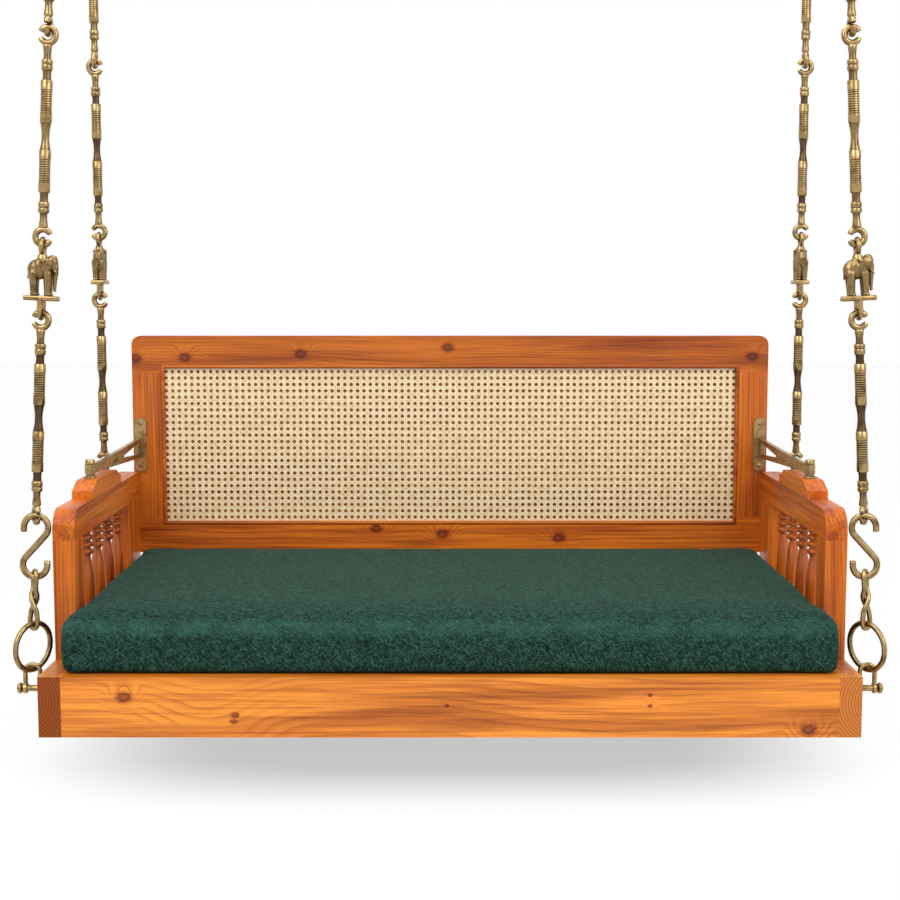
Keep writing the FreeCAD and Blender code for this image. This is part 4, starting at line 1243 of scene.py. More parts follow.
@dataclass
class ElephantCasting:
    """The cast elephant on its stand, made once and copied onto each chain."""

    layout: ChainLayout
    stand_length: float = 0.062
    stand_width: float = 0.030
    ring_radius: float = 0.013
    stirrup_half_width: float = 0.015
    ring_faces: int = 44
    stand_edge: float = 0.0030
    voxel: float = 0.0008

    def blob(self, centre: Point, size: Point, lean: float = 0.0) -> bpy.types.Object:
        """A rounded lump of the model.

        Args:
            centre: Its middle.
            size: Its half sizes.
            lean: Its turn about Y in degrees.

        Returns:
            The lump.
        """
        deselect()
        bpy.ops.mesh.primitive_uv_sphere_add(
            segments=24, ring_count=16, radius=1.0, location=centre, scale=size, rotation=(0, math.radians(lean), 0)
        )
        return settle(named("lump"))

    def limb(self, stations: Sequence[tuple[Point, float]]) -> list[bpy.types.Object]:
        """A tapering limb as a row of overlapping lumps.

        Args:
            stations: Centres with their radii.

        Returns:
            The lumps.
        """
        lumps = []
        for (start, first), (end, last) in zip(stations, stations[1:]):
            count = max(2, int((Vector(end) - Vector(start)).length / 0.0016))
            for index in range(count + 1):
                share = index / count
                centre = Vector(start).lerp(Vector(end), share)
                radius = first + (last - first) * share
                lumps.append(self.blob(tuple(centre), (radius, radius, radius)))
        return lumps

    def figure(self) -> bpy.types.Object:
        """The elephant standing at the origin, facing +X.

        Returns:
            One smooth closed body.
        """
        lumps = [
            self.blob((-0.0075, 0.0, 0.0475), (0.0198, 0.0128, 0.0190), 6.0),
            self.blob((-0.0140, 0.0, 0.0450), (0.0122, 0.0120, 0.0195), 8.0),
            self.blob((0.0060, 0.0, 0.0510), (0.0125, 0.0120, 0.0200)),
            self.blob((0.0178, 0.0, 0.0615), (0.0114, 0.0095, 0.0126)),
            self.blob((0.0186, 0.0, 0.0688), (0.0088, 0.0074, 0.0060)),
            self.blob((0.0222, 0.0, 0.0545), (0.0072, 0.0068, 0.0105)),
        ]
        for sign in (-1, 1):
            hip, foot = 0.0056 * sign, 0.0064 * sign
            rear = [((-0.0145, hip, 0.040), 0.0090), ((-0.0138, foot, 0.020), 0.0070)]
            lumps += self.limb([*rear, ((-0.0134, foot, 0.0045), 0.0062)])
            lumps.append(self.blob((-0.0126, foot, 0.0024), (0.0076, 0.0066, 0.0028)))
            front = [((0.0112, hip, 0.040), 0.0086), ((0.0118, foot, 0.020), 0.0068)]
            lumps += self.limb([*front, ((0.0120, foot, 0.0045), 0.0060)])
            lumps.append(self.blob((0.0128, foot, 0.0024), (0.0076, 0.0064, 0.0028)))
            tusk = [((0.0235, 0.0048 * sign, 0.0455), 0.0017), ((0.0290, 0.0058 * sign, 0.0395), 0.0011)]
            lumps += self.limb(tusk)
            lumps.append(self.blob((0.0104, 0.0118 * sign, 0.0560), (0.0096, 0.0020, 0.0130), 14.0))
            lumps.append(self.blob((0.0040, 0.0128 * sign, 0.0640), (0.0046, 0.0020, 0.0046)))
            lumps.append(self.blob((0.0040, 0.0142 * sign, 0.0640), (0.0022, 0.0020, 0.0022)))
            strap = [((0.0040, 0.0126 * sign, 0.0600), 0.0012), ((0.0110, 0.0130 * sign, 0.0430), 0.0012)]
            lumps += self.limb(strap)
        trunk = [((0.0240, 0.0, 0.054), 0.0062), ((0.0248, 0.0, 0.042), 0.0050), ((0.0243, 0.0, 0.030), 0.0040)]
        lumps += self.limb([*trunk, ((0.0238, 0.0, 0.020), 0.0034), ((0.0238, 0.0, 0.0105), 0.0030)])
        lumps += self.limb([((-0.0252, 0.0, 0.052), 0.0017), ((-0.0262, 0.0, 0.030), 0.0012)])
        body = join(lumps, "elephant_figure")
        cloth = self.blob((-0.0050, 0.0, 0.0535), (0.0105, 0.0138, 0.0165))
        body = join([body, cloth], "elephant_figure")
        reskin(body, self.voxel)
        activate(body)
        bpy.ops.object.shade_smooth()
        return body

    def stand(self) -> bpy.types.Object:
        """The flat stand with rounded edges, its top at the origin's height."""
        deselect()
        thickness = self.layout.platform_thickness
        bpy.ops.mesh.primitive_cube_add(size=1.0, location=(0.0, 0.0, -thickness / 2))
        piece = named("stand")
        piece.scale = (self.stand_length, self.stand_width, thickness)
        settle(piece)
        modify(piece, "BEVEL", width=self.stand_edge, segments=3)
        smooth(piece, 35.0)
        return piece

    def build(self, figure_turn: float) -> bpy.types.Object:
        """The whole casting, its stirrup's lowest wire at the origin.

        Args:
            figure_turn: The turn of the elephant and its stand.

        Returns:
            The casting.
        """
        layout = self.layout
        foot_z = layout.platform_rise + layout.platform_thickness
        parts = []
        for part in (self.figure(), self.stand()):
            part.data.transform(Matrix.Rotation(math.radians(figure_turn), 4, "Z"))
            part.data.transform(Matrix.Translation((0.0, 0.0, foot_z)))
            parts.append(part)
        half = self.stirrup_half_width
        path = [(half, 0.0, layout.platform_rise + 0.004)]
        path += arc((0.0, half), half, 0.0, -180.0, 24)
        path.append((-half, 0.0, layout.platform_rise + 0.004))
        stirrup = bend_wire("stirrup", path, [1.0] * len(path), layout.elephant_wire, False)
        ring_z = foot_z + layout.elephant_height + layout.elephant_loop_top - self.ring_radius
        ring = torus("back_ring", self.ring_radius, layout.elephant_wire, (0.0, 0.0, ring_z), self.ring_faces)
        for part in (stirrup, ring):
            part.data.transform(Matrix.Rotation(math.pi / 2, 4, "Z"))
            parts.append(part)
        saddle_profile = [(0.0095, -0.012), (0.0088, -0.004), (0.0064, 0.0), (0.0052, 0.003)]
        saddle = turn_on_lathe("saddle", saddle_profile, 28)
        saddle.data.transform(Matrix.Translation((0.0, 0.0, foot_z + layout.elephant_height + 0.002)))
        parts.append(saddle)
        return join(parts, f"elephant_{int(figure_turn)}")


FRONT_HOOK_TURNS = ((242.0, 180.0), (180.0, 180.0), (270.0, 180.0))
REAR_HOOK_TURNS = ((0.0, 0.0), (0.0, 0.0), (90.0, 90.0))
FRONT_LINK_TURNS = (-140.0, 62.0)
REAR_LINK_TURNS = (90.0, 0.0)


@dataclass
class ChainSet:
    """The four chains, each piece a smooth stand-in for its measured solid."""

    brass: bpy.types.Material
    polished: bpy.types.Material
    patina: bpy.types.Material

    def build(self) -> None:
        """Make one of each piece, then copy it onto every chain."""
        sample = ChainLayout(Place.REAR, Side.RIGHT)
        forge = ChainForge(sample)
        casting = ElephantCasting(sample)
        made = {"ring": forge.ring(), "shackle": forge.shackle(), "s_hook": forge.s_hook()}
        for turns in dict.fromkeys(FRONT_HOOK_TURNS + REAR_HOOK_TURNS):
            made[turns] = forge.bar(*turns)
        for turn in (0.0, 90.0, 180.0):
            made[turn] = casting.build(turn)
        for place in Place:
            in_front = place is Place.FRONT
            made["adjuster"] = forge.adjuster(ChainLayout(place, Side.RIGHT).extra)
            made["link"] = forge.twisted_link(*(FRONT_LINK_TURNS if in_front else REAR_LINK_TURNS))
            for side in Side:
                self.hang(ChainLayout(place, side), made)
                log.info("chain %s %s hung", place.value, side.name.lower())
            for key in ("adjuster", "link"):
                bpy.data.objects.remove(made.pop(key))
        for master in made.values():
            bpy.data.objects.remove(master)

    def hang(self, layout: ChainLayout, made: dict[Hashable, bpy.types.Object]) -> None:
        """Copy every piece onto one chain.

        Args:
            layout: The chain's heights and place.
            made: The pieces by name, the bars by the turns of their hooks, the elephants by their turn.
        """
        in_front = layout.place is Place.FRONT
        prefix, heights = layout.prefix, layout.heights
        turns = {"ring": layout.ring_turn, "adjuster": 90.0} if in_front else {"ring": 90.0, "adjuster": 0.0}
        turns["link"] = 0.0
        links = [place_copy(made[key], key, layout.matrix(turn, heights[key])) for key, turn in turns.items()]
        self.finish(join(links, f"{prefix}_links_cast"), layout, "links", self.brass)
        place = layout.matrix(180.0 if in_front else -90.0, heights["hook"])
        self.finish(place_copy(made["s_hook"], f"{prefix}_s_hook_cast", place), layout, "s_hook", self.brass)
        place = layout.matrix(0.0, 0.0, False)
        self.finish(place_copy(made["shackle"], f"{prefix}_shackle_cast", place), layout, "shackle", self.polished)
        bars = []
        for key, turn in zip(("bar_1", "bar_2", "bar_3"), FRONT_HOOK_TURNS if in_front else REAR_HOOK_TURNS):
            bars.append(place_copy(made[turn], key, layout.matrix(0.0, heights[key] + layout.eye_radius)))
        whole = join(bars, f"{prefix}_bars_turned")
        hollows = [face.index for face in whole.data.polygons if face.material_index == 1]
        self.finish(whole, layout, "bars", self.polished)
        darken_recesses(whole, self.patina, hollows)
        facing = 90.0
        if in_front:
            facing = 0.0 if layout.side is Side.RIGHT else 180.0
        place = layout.matrix(0.0, heights["elephant"])
        self.finish(place_copy(made[facing], f"{prefix}_elephant_cast", place), layout, "elephant", self.brass)

    def finish(self, piece: bpy.types.Object, layout: ChainLayout, node: str, metal: bpy.types.Material) -> None:
        """Dress a piece, hang it on its chain and let it stand for its solid.

        Args:
            piece: The piece in place.
            layout: The chain it belongs to.
            node: The end of its solid's name.
            metal: Its finish.
        """
        stand_in(piece, metal, layout.body, f"{layout.prefix}_{node}")


# Bench


@dataclass
class TimberFrame:
    """Every plain timber member keeps its measured shape and gets its own cut of teak."""

    seat: TeakFinish
    # The back's teak: redder than the seat's, and darker as painted shade.
    back: TeakFinish
    inner: TeakFinish
    slots: tuple[str, ...] = ("teak", "inner_wood")

    def grain_of(self, node: str) -> Axis:
        """The direction that a member's grain runs, its longest side."""
        if node.startswith(("arm_crest", "arm_rail", "side_rail")):
            return Axis.ALONG_Y
        if node.startswith(("arm_front_post", "arm_rear_post", "back_stile", "back_cleats")):
            return Axis.ALONG_Z
        low, high = corners_of(node)
        sizes = list(high - low)
        return (Axis.ALONG_X, Axis.ALONG_Y, Axis.ALONG_Z)[sizes.index(max(sizes))]

    def finish_of(self, node: str) -> TeakFinish:
        """The cut of teak that a member is made of: golden in the seat and arms, redder in the back and darker there
        as painted shade.
        """
        if frame_slot(node) == "inner_wood":
            return self.inner
        if node.startswith("back") or node == "cane_bead":
            return self.back
        return self.seat

    def tone_of(self, node: str) -> Colour:
        """What a member's colour is multiplied by: the seat rails are the palest and the arms deeper. The back's
        painted shade is lifted on its bottom rail and stiles, by different amounts, but not on its top rail.
        """
        if node.startswith("arm"):
            return (0.86, 0.62, 0.32, 1.0)
        # Painted shade on the back: the darker teak is lightened again on the bottom rail and the stiles, the right
        # stile more than the left.
        painted_shade_lift = {"back_bottom_rail": 1.34, "back_stile_right": 1.24, "back_stile_left": 1.12}.get(node, 1.0)
        return (painted_shade_lift, painted_shade_lift, painted_shade_lift, 1.0)

    def knots_of(self, node: str) -> tuple[Knot, ...]:
        """The knots that show on a member."""
        if node == "front_rail":
            return (
                Knot(-0.603, 0.0760, 0.0085),
                Knot(-0.440, 0.0290, 0.0300, False),
                Knot(-0.398, 0.0420, 0.0045),
                Knot(-0.400, 0.0310, 0.0040),
                Knot(0.370, 0.0800, 0.0026),
                Knot(0.370, 0.0600, 0.0026),
                Knot(-0.006, 0.0600, 0.0024),
                Knot(0.664, 0.0145, 0.0085),
            )
        if node == "back_top_rail":
            places = ((-0.722, 0.6665), (-0.609, 0.6690), (-0.343, 0.6770), (-0.005, 0.6920), (0.694, 0.6710))
            return tuple(Knot(x, z, 0.0085) for x, z in places)
        if node == "back_bottom_rail":
            return Knot(-0.017, 0.259, 0.009), Knot(-0.171, 0.272, 0.008), Knot(0.253, 0.250, 0.009)
        return ()

    def show_end_grain(self, piece: bpy.types.Object, node: str) -> None:
        """Give a side rail's sawn ends their growth rings.

        Args:
            piece: The side rail.
            node: Its name.
        """
        low, high = corners_of(node)
        outer = low.x if abs(low.x) > abs(high.x) else high.x
        heart = (outer * 1.045, 0.0, low.z + (high.z - low.z) * 0.58)
        cut = EndGrainFinish() if low.x < 0 else EndGrainFinish((0.26, 0.066, 0.010, 1.0), (0.50, 0.160, 0.030, 1.0))
        piece.data.materials.append(cut.make(f"end_grain_{node}", heart))
        for face in piece.data.polygons:
            if abs(face.normal.y) > 0.9:
                face.material_index = 1

    def build(self) -> None:
        """Dress every timber node."""
        timber = [part["node"] for part in frame["record"]["subparts"] if part["material_slot"] in self.slots]
        for index, node in enumerate(sorted(timber)):
            if node.startswith("arm_spindles"):
                continue
            cut = 1.7 * index + 0.3
            grain, tone, knots = self.grain_of(node), self.tone_of(node), self.knots_of(node)
            material = self.finish_of(node).make(f"teak_{node}", grain, cut, tone, knots)
            piece = frame["nodes"][node]
            dress(piece, material)
            if node.startswith("side_rail"):
                self.show_end_grain(piece, node)
        log.info("dressed %d timber members", len(timber))


@dataclass
class SpindleRows:
    """The turned vase balusters under each arm rail."""

    finish: TeakFinish
    tone: Colour = (0.62, 0.40, 0.22, 1.0)
    low_z: float = 0.114
    high_z: float = 0.346
    x: float = 0.741
    first_y: float = -0.0805
    pitch: float = 0.094
    count: int = 4

    def profile(self) -> Profile:
        """The baluster's outline: foot, long vase, then three equal discs and a neck under the rail."""
        height = self.high_z - self.low_z
        points: Profile = [(0.0110, 0.0), (0.0112, 0.009), (0.0092, 0.0155), (0.0102, 0.022), (0.0130, 0.036)]
        points += [(0.0146, 0.055), (0.0153, 0.078), (0.0152, 0.098), (0.0142, 0.124), (0.0120, 0.146)]
        points += [(0.0098, 0.160), (0.0088, 0.169), (0.0092, 0.1735)]
        for middle in (0.1810, 0.1955, 0.2100):
            points += [(0.0142, middle - 0.0032), (0.0147, middle), (0.0142, middle + 0.0032)]
            points += [(0.0096, middle + 0.0060), (0.0098, middle + 0.0086)]
        points += [(0.0096, 0.2225), (0.0110, height)]
        return rounded(points, 4)

    def build(self) -> None:
        """Turn one baluster and stand a row of copies under each arm."""
        master = turn_on_lathe("baluster", self.profile(), 40)
        for side in Side:
            name = side.name.lower()
            copies = []
            for index in range(self.count):
                place = (side.value * self.x, self.first_y + index * self.pitch, self.low_z)
                copies.append(place_copy(master, "baluster", Matrix.Translation(place)))
            row = join(copies, f"balusters_{name}")
            material = self.finish.make(f"teak_balusters_{name}", Axis.ALONG_Z, 4.1 + side.value, self.tone)
            stand_in(row, material, "bench", f"arm_spindles_{name}")
        bpy.data.objects.remove(master)
        log.info("turned the balusters")


@dataclass
class CaneWeave:
    """Hand-woven cane: pairs of upright and level strands with diagonals both ways."""

    finish: CaneFinish
    pitch: float = 0.0147
    pair_gap: float = 0.0036
    strand: float = 0.0026
    diagonal: float = 0.0027
    thickness: float = 0.0005
    lift: float = 0.0007
    bedding: float = 0.0002
    box_faces: tuple[tuple[int, ...], ...] = (
        (0, 1, 2, 3),
        (7, 6, 5, 4),
        (0, 4, 5, 1),
        (1, 5, 6, 2),
        (2, 6, 7, 3),
        (3, 7, 4, 0),
    )

    def strip(self, start: Vector, end: Vector, width: float, y: float) -> list[Vector]:
        """The corners of one strand lying in the panel's plane.

        Args:
            start: One end in the XZ plane.
            end: The other end.
            width: The strand's width.
            y: How far back it lies.

        Returns:
            Eight corners, front then back.
        """
        along = (end - start).normalized()
        across = Vector((-along.z, 0.0, along.x)) * (width / 2)
        flat = (start - across, end - across, end + across, start + across)
        return [Vector((place.x, depth, place.z)) for depth in (y, y + self.thickness) for place in flat]

    def clipped(self, centre: Vector, direction: Vector, low: Vector, high: Vector) -> tuple[Vector, Vector] | None:
        """The stretch of a line that lies inside the panel.

        Args:
            centre: A point on the line.
            direction: Its direction.
            low: The panel's lowest corner.
            high: The panel's highest corner.

        Returns:
            The two ends, or None where the line misses the panel.
        """
        near, far = -10.0, 10.0
        for axis in (0, 2):
            if abs(direction[axis]) < 1e-9:
                continue
            first = (low[axis] - centre[axis]) / direction[axis]
            last = (high[axis] - centre[axis]) / direction[axis]
            near = max(near, min(first, last))
            far = min(far, max(first, last))
        if far - near < self.pitch / 2:
            return None
        return centre + direction * near, centre + direction * far

    def build(self) -> None:
        """Weave the panel strand by strand into one mesh."""
        low, high = corners_of("cane_panel")
        middle = (low + high) / 2
        front = low.y - self.bedding
        strands = []
        reach = 0
        for across, lift in ((0, self.lift), (2, 2 * self.lift)):
            count = int((high[across] - low[across]) / self.pitch) + 1
            reach += count
            for step in range(-count // 2, count // 2 + 1):
                for offset in (-self.pair_gap / 2, self.pair_gap / 2):
                    place = middle[across] + step * self.pitch + offset
                    if low[across] < place < high[across]:
                        ends = (low.copy(), high.copy())
                        for end in ends:
                            end[across], end.y = place, 0.0
                        strands.append((*ends, self.strand, front + lift))
        for slope in (1, -1):
            direction = Vector((1.0, 0.0, float(slope))).normalized()
            depth = front if slope > 0 else front + self.thickness * 0.6
            for index in range(-reach, reach + 1):
                centre = Vector((middle.x + (index + 0.5) * self.pitch, 0.0, middle.z))
                ends = self.clipped(centre, direction, low, high)
                if ends:
                    strands.append((*ends, self.diagonal, depth))
        mesh = bpy.data.meshes.new("cane_weave")
        corners: list[Vector] = []
        faces = []
        for start, end, width, depth in strands:
            base = len(corners)
            corners += self.strip(start, end, width, depth)
            faces += [[base + index for index in face] for face in self.box_faces]
        mesh.from_pydata(corners, [], faces)
        piece = into_scene("cane_weave", mesh)
        face_outward(piece)
        stand_in(piece, self.finish.make("cane"), "bench", "cane_panel")
        log.info("wove %d strands of cane", len(strands))


@dataclass
class SeatCushion:
    """The boxed foam cushion in velvet, plumped by a short cloth simulation."""

    finish: VelvetFinish
    shrink: float = 0.0012
    voxel: float = 0.007
    pressure: float = 4.0
    frames: int = 20
    cap: float = 0.007
    settle_gap: float = 0.0004
    front_drop: float = 0.009
    back_rise: float = 0.007
    ripple: float = 0.0012
    still_share: float = 0.35
    sink_share: float = 0.16
    wave_share: float = 0.20
    rise_start: float = 0.10
    rise_share: float = 0.35
    side_swell: float = 0.012
    front_swell: float = 0.006
    posts_y: float = -0.268
    posts_fade: float = 0.03
    swell_x: float = 0.58
    swell_x_fade: float = 0.13
    swell_y: float = -0.33
    swell_y_fade: float = 0.04
    spare_side: float = 0.008
    spare_front: float = 0.004

    def build(self) -> None:
        """Copy the solid a little smaller, plump it, and let it stand for the solid."""
        low, high = corners_of("seat_cushion")
        centre = (low + high) / 2
        piece = into_scene("seat_cushion_velvet", frame["nodes"]["seat_cushion"].data.copy())
        piece.data.materials.clear()
        scales = [(size - 2 * self.shrink) / size for size in high - low]
        move = Matrix.Translation(centre) @ Matrix.Diagonal((*scales, 1.0)) @ Matrix.Translation(-centre)
        piece.data.transform(move)
        face_outward(piece)
        reskin(piece, self.voxel)
        self.plump(piece)
        self.settle_top(piece, low, high)
        self.rest_on_deck(piece, low, high)
        modify(piece, "SUBSURF", levels=1, render_levels=1)
        bpy.ops.object.shade_smooth()
        stand_in(piece, self.finish.make("velvet"), "bench", "seat_cushion")
        log.info("plumped the cushion")

    def plump(self, piece: bpy.types.Object) -> None:
        """Blow the cushion up as cloth, then cap how far each point has moved.

        Args:
            piece: The remeshed cushion.
        """
        before = [vertex.co.copy() for vertex in piece.data.vertices]
        activate(piece)
        cloth = piece.modifiers.new("Cloth", "CLOTH")
        cloth.settings.use_pressure = True
        cloth.settings.uniform_pressure_force = self.pressure
        cloth.settings.effector_weights.gravity = 0.0
        cloth.settings.quality = 4
        cloth.collision_settings.use_self_collision = False
        scene = bpy.context.scene
        for index in range(1, self.frames + 1):
            scene.frame_set(index)
        bpy.ops.object.modifier_apply(modifier=cloth.name)
        scene.frame_set(1)
        for vertex, start in zip(piece.data.vertices, before):
            moved = vertex.co - start
            if moved.length > self.cap:
                vertex.co = start + moved.normalized() * self.cap

    def settle_top(self, piece: bpy.types.Object, low: Vector, high: Vector) -> None:
        """Let the top's front edge sink and wave, the top behind it rise, and the front swell past the posts.

        Args:
            piece: The plumped cushion.
            low: The lowest corner of its space.
            high: The highest corner.
        """
        for vertex in piece.data.vertices:
            co = vertex.co
            up = max(0.0, (co.z - low.z) / (high.z - low.z) - self.still_share) / (1 - self.still_share)
            back = (co.y - low.y) / (high.y - low.y)
            sink = self.front_drop * max(0.0, 1 - back / self.sink_share) ** 2
            rise = self.back_rise * clamped((back - self.rise_start) / self.rise_share)
            wave = self.ripple * math.sin(co.x * 31.0) * math.sin(co.x * 12.7 + 1.0)
            wave *= max(0.0, 1 - back / self.wave_share)
            co.z += min(up, 1.0) * (rise - sink + wave)
            past_posts = clamped((self.posts_y - co.y) / self.posts_fade)
            outer = clamped((abs(co.x) - self.swell_x) / self.swell_x_fade)
            co.x += math.copysign(self.side_swell, co.x) * outer * past_posts
            co.y -= self.front_swell * clamped((self.swell_y - co.y) / self.swell_y_fade) * (1 - min(up, 1.0) ** 2)

    def rest_on_deck(self, piece: bpy.types.Object, low: Vector, high: Vector) -> None:
        """Flatten the underside on the deck and keep the sides in their space.

        Args:
            piece: The plumped cushion.
            low: The lowest corner of its space.
            high: The highest corner.
        """
        base = low.z + self.settle_gap
        for vertex in piece.data.vertices:
            co = vertex.co
            co.z = max(co.z, base)
            spare = self.spare_side if co.y < self.posts_y else 0.0
            co.x = max(low.x - spare, min(high.x + spare, co.x))
            co.y = max(low.y - self.spare_front, min(high.y, co.y))


@dataclass
class BrassFittings:
    """Brackets, posts, bolts, screws and ceiling fixings in brass."""

    brass: bpy.types.Material
    polished: bpy.types.Material
    arm_x: float = 0.741
    eye_y: float = -0.0285
    crest_z: float = 0.438
    rail_inside: float = 0.707
    screw_x: float = 0.7135
    screw_radius: float = 0.0045
    eye_radius: float = 0.016
    eye_faces: int = 44
    shank_rise: float = 0.034

    def build(self) -> None:
        """Dress the plain castings and replace the turned ones."""
        for node in ("bracket_left", "bracket_right", "pivot_nuts", "pivot_spacers", "ceiling_plates"):
            dress(frame["nodes"][node], self.brass)
        self.posts()
        self.bolts()
        self.ceiling_eyes()
        self.plate_screws()
        log.info("fitted the brass")

    def posts(self) -> None:
        """The turned foot, stem and flat cap that hold each bracket's eye."""
        profile: Profile = [(0.0130, 0.0), (0.0130, 0.0034), (0.0120, 0.0044), (0.0093, 0.0050), (0.0090, 0.0080)]
        profile += [(0.0060, 0.0085), (0.0060, 0.0292), (0.0092, 0.0295), (0.0099, 0.0303), (0.0099, 0.0372)]
        profile += [(0.0089, 0.0385), (0.0005, 0.0388)]
        master = turn_on_lathe("post", profile, 36)
        for side in Side:
            name = side.name.lower()
            place = Matrix.Translation((side.value * self.arm_x, self.eye_y, self.crest_z))
            piece = place_copy(master, f"bracket_post_{name}_turned", place)
            stand_in(piece, self.polished, "bench", f"bracket_post_{name}")
        bpy.data.objects.remove(master)

    def bolts(self) -> None:
        """The long bolts with a rounded head outside each shackle."""
        layout = ChainLayout(Place.FRONT, Side.RIGHT)
        inner = self.rail_inside
        outer = layout.pin_x + layout.shackle_half_width + layout.shackle_wire + layout.clearance
        head = corners_of("pivot_bolts")[1].x - outer
        profile: Profile = [(0.0052, 0.0), (0.0060, 0.001), (0.0060, outer - inner)]
        for step in range(9):
            angle = math.pi * (0.13 + 0.87 * step / 8)
            profile.append((0.0108 * math.sin(angle), outer - inner + head * (1 - math.cos(angle)) / 2))
        master = turn_on_lathe("bolt", profile, 32)
        copies = []
        for side in Side:
            for y in (layout.front_y, layout.rear_y):
                place = Matrix.Translation((inner, y, layout.pin_height)) @ Matrix.Rotation(math.pi / 2, 4, "Y")
                copies.append(place_copy(master, "bolt", side.mirrored(place)))
        bpy.data.objects.remove(master)
        piece = join(copies, "pivot_bolts_turned")
        stand_in(piece, self.polished, "bench", "pivot_bolts")

    def ceiling_eyes(self) -> None:
        """Round eyes with a stepped shank under each ceiling plate."""
        high = corners_of("ceiling_eyes")[1]
        copies = []
        for place in Place:
            layout = ChainLayout(place, Side.RIGHT)
            in_front = place is Place.FRONT
            x = layout.pin_x - (layout.lean_x if in_front else 0.0)
            y = layout.front_y if in_front else layout.rear_y
            centre_z = layout.eye_height + self.eye_radius
            shank_low = layout.eye_height + self.shank_rise
            length = high.z - shank_low
            profile = [(0.0055, 0.0), (0.0068, 0.002), (0.0068, length * 0.55), (0.0066, length)]
            for side in Side:
                centre = (side.value * x, y, centre_z)
                copies.append(torus("eye", self.eye_radius, layout.ceiling_wire, centre, self.eye_faces))
                shank = turn_on_lathe("shank", profile, 28)
                shank.data.transform(Matrix.Translation((side.value * x, y, shank_low)))
                copies.append(shank)
        stand_in(join(copies, "ceiling_eyes_round"), self.polished, "ceiling", "ceiling_eyes")

    def plate_screws(self) -> None:
        """A domed screw near each end of a bracket's wall plate."""
        low, high = corners_of("bracket_screws")
        profile = rounded([(0.0044, 0.0), (0.0044, 0.0008), (0.0034, 0.0016), (0.0004, 0.0020)], 3)
        master = turn_on_lathe("screw", profile, 28)
        turn = Matrix.Rotation(math.pi / 2, 4, "X")
        copies = []
        for side in Side:
            for z in (low.z + self.screw_radius, high.z - self.screw_radius):
                place = Matrix.Translation((side.value * self.screw_x, high.y, z)) @ turn
                copies.append(place_copy(master, "screw", place))
        bpy.data.objects.remove(master)
        stand_in(join(copies, "bracket_screws_domed"), self.polished, "bench", "bracket_screws")


# Studio


def seen_or_mirrored(nodes: Nodes) -> Socket:
    """1 for what the lens sees, straight or mirrored in polished metal."""
    path = nodes.add("LightPath").outputs
    return nodes.math("MAXIMUM", path["Is Camera Ray"], path["Is Glossy Ray"])


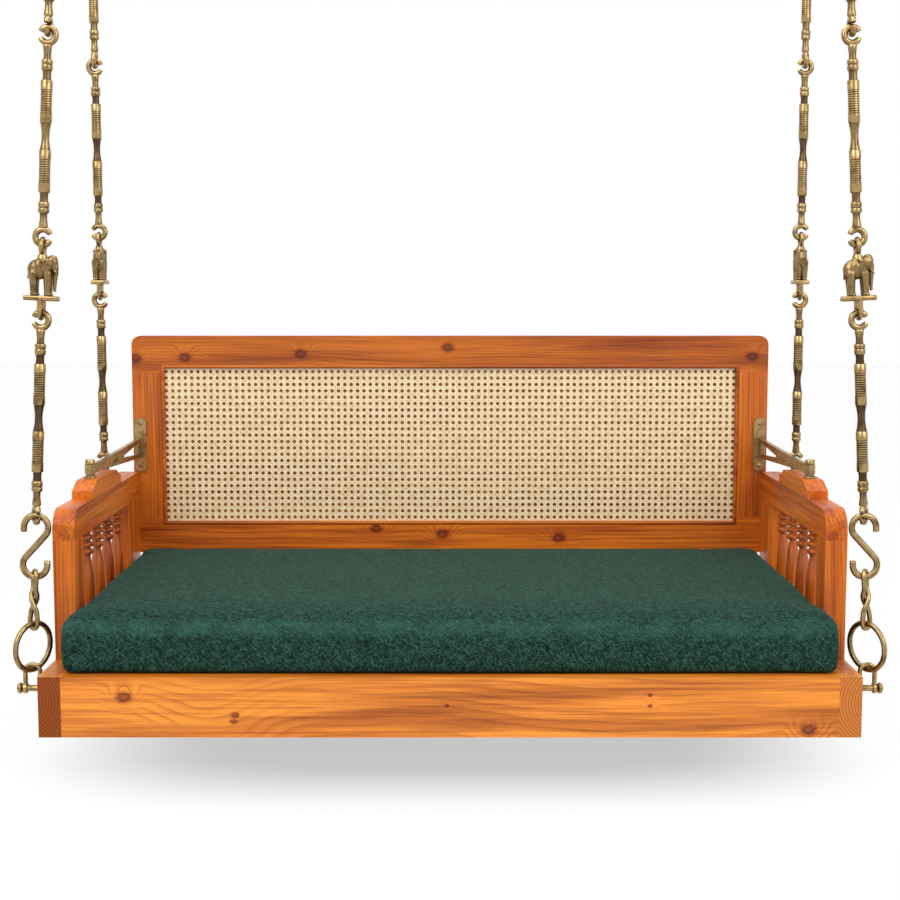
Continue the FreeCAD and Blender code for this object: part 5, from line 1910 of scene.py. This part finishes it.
@dataclass
class Studio:
    """A white floor, soft lamps and the camera of the photograph."""

    floor_z: float = -0.075
    camera_y: float = -3.1985
    camera_z: float = 0.832
    pitch_down: float = 6.04
    focal_length: float = 62.0
    sensor_width: float = 36.0
    floor_size: float = 30.0
    shade_half_length: float = 0.88
    # The painted shadow on the floor: its size, its place, and how white it is at its darkest.
    shade_half_width: float = 0.58
    shade_y: float = -0.05
    least_white: float = 0.59
    backdrop_share: float = 0.95
    sky_light: float = 0.62

    def build(self) -> None:
        """Set up the cove, the world, the lamps and the camera."""
        self.cove()
        self.world()
        self.lamp("key", (-2.2, -3.0, 3.4), (0.0, 0.0, 0.35), 2.6, 95.0)
        self.lamp("fill", (2.6, -2.6, 2.4), (0.0, 0.0, 0.35), 2.4, 55.0)
        self.lamp("top", (0.0, -0.3, 3.6), (0.0, 0.0, 0.0), 2.8, 60.0)
        self.camera()
        bpy.context.scene.view_settings.view_transform = "Standard"
        log.info("studio is lit")

    def cove(self) -> None:
        """The floor, a wide flat white plane."""
        deselect()
        bpy.ops.mesh.primitive_plane_add(size=1.0, location=(0.0, 0.0, self.floor_z))
        floor = named("studio_floor")
        floor.scale = (self.floor_size, self.floor_size, 1.0)
        settle(floor)
        nodes = new_finish("studio_white")
        nodes.surface(Base_Color=(0.93, 0.93, 0.93, 1.0), Roughness=0.9, Specular_IOR_Level=0.0)
        # Painted shadow: the floor's glow is dimmed in a band under the bench.
        glow = nodes.add("Emission", Color=WHITE, Strength=self.shadow_share(nodes))
        seen = nodes.math("MULTIPLY", seen_or_mirrored(nodes), self.backdrop_share)
        lit = nodes.tree.nodes["Principled BSDF"].outputs["BSDF"]
        mixer = nodes.add("MixShader", Fac=seen)
        for index, shader in ((1, lit), (2, glow.outputs["Emission"])):
            nodes.feed(mixer.inputs[index], shader)
        nodes.feed(nodes.tree.nodes["Material Output"].inputs["Surface"], mixer.outputs["Shader"])
        floor.data.materials.append(nodes.owner)

    def shadow_share(self, nodes: Nodes) -> Socket:
        """How white the floor glows: fully so away from the bench, less in a painted shadow under it.

        Args:
            nodes: The floor material's nodes.

        Returns:
            A value from least_white under the bench to 1 far away.
        """
        scale = (1 / self.shade_half_length, 1 / self.shade_half_width, 0.0)
        shift = (0.0, -self.shade_y / self.shade_half_width, 0.0)
        place = nodes.placed(scale, shift)
        squares = nodes.vector("LENGTH", nodes.vector("MULTIPLY", place, place))
        return nodes.span(nodes.math("POWER", squares, 0.5), 0.50, 1.0, self.least_white, 1.0, eased=True)

    def world(self) -> None:
        """A white sky for the lens and shiny metal, a gentle one for the light."""
        sky = bpy.data.worlds.new("studio_sky")
        bpy.context.scene.world = sky
        nodes = Nodes(sky)
        strength = nodes.span(seen_or_mirrored(nodes), 0.0, 1.0, self.sky_light, 1.0)
        background = nodes.tree.nodes["Background"]
        nodes.feed(background.inputs["Strength"], strength)
        nodes.feed(background.inputs["Color"], WHITE)

    def lamp(self, name: str, place: Point, target: Point, size: float, power: float) -> None:
        """A square soft lamp.

        Args:
            name: The lamp's name.
            place: Where it hangs.
            target: What it points at.
            size: The length of its side.
            power: Its power in watts.
        """
        data = bpy.data.lights.new(name, "AREA")
        data.energy = power
        data.size = size
        lamp = into_scene(name, data)
        lamp.location = place
        aim = Vector(target) - Vector(place)
        lamp.rotation_euler = aim.to_track_quat("-Z", "Y").to_euler()

    def camera(self) -> None:
        """The camera at the photograph's place, looking level along +Y and a little down."""
        data = bpy.data.cameras.new("camera")
        data.lens = self.focal_length
        data.sensor_width = self.sensor_width
        data.sensor_fit = "HORIZONTAL"
        camera = into_scene("camera", data)
        camera.location = (0.0, self.camera_y, self.camera_z)
        camera.rotation_euler = (math.radians(90.0 - self.pitch_down), 0.0, 0.0)
        bpy.context.scene.camera = camera


def main() -> None:
    """Build the swing piece by piece and light it."""
    logging.basicConfig(level=logging.INFO, format="%(message)s")
    teak = TeakFinish()
    # The back's teak: a redder hue, and darker as painted shade.
    red_shaded_teak = TeakFinish((0.56, 0.142, 0.008, 1.0), (0.35, 0.068, 0.003, 1.0), (0.13, 0.022, 0.001, 1.0))
    inner = TeakFinish((0.32, 0.145, 0.036, 1.0), (0.24, 0.100, 0.024, 1.0), (0.15, 0.058, 0.013, 1.0))
    glossy = TeakFinish(roughness=0.28, coat=0.60)
    brass = BrassFinish().make("antique_brass")
    polished = BrassFinish(pitting=0.02).make("rubbed_brass", 0.06)
    patina = BrassFinish((0.16, 0.098, 0.050, 1.0), (0.085, 0.050, 0.026, 1.0)).make("brass_patina")
    steps: Iterable[Callable[[], None]] = (
        TimberFrame(teak, red_shaded_teak, inner).build,
        SpindleRows(glossy).build,
        CaneWeave(CaneFinish()).build,
        SeatCushion(VelvetFinish()).build,
        ChainSet(brass, polished, patina).build,
        BrassFittings(brass, polished).build,
        Studio().build,
    )
    for step in steps:
        step()


if __name__ == "__main__":
    main()
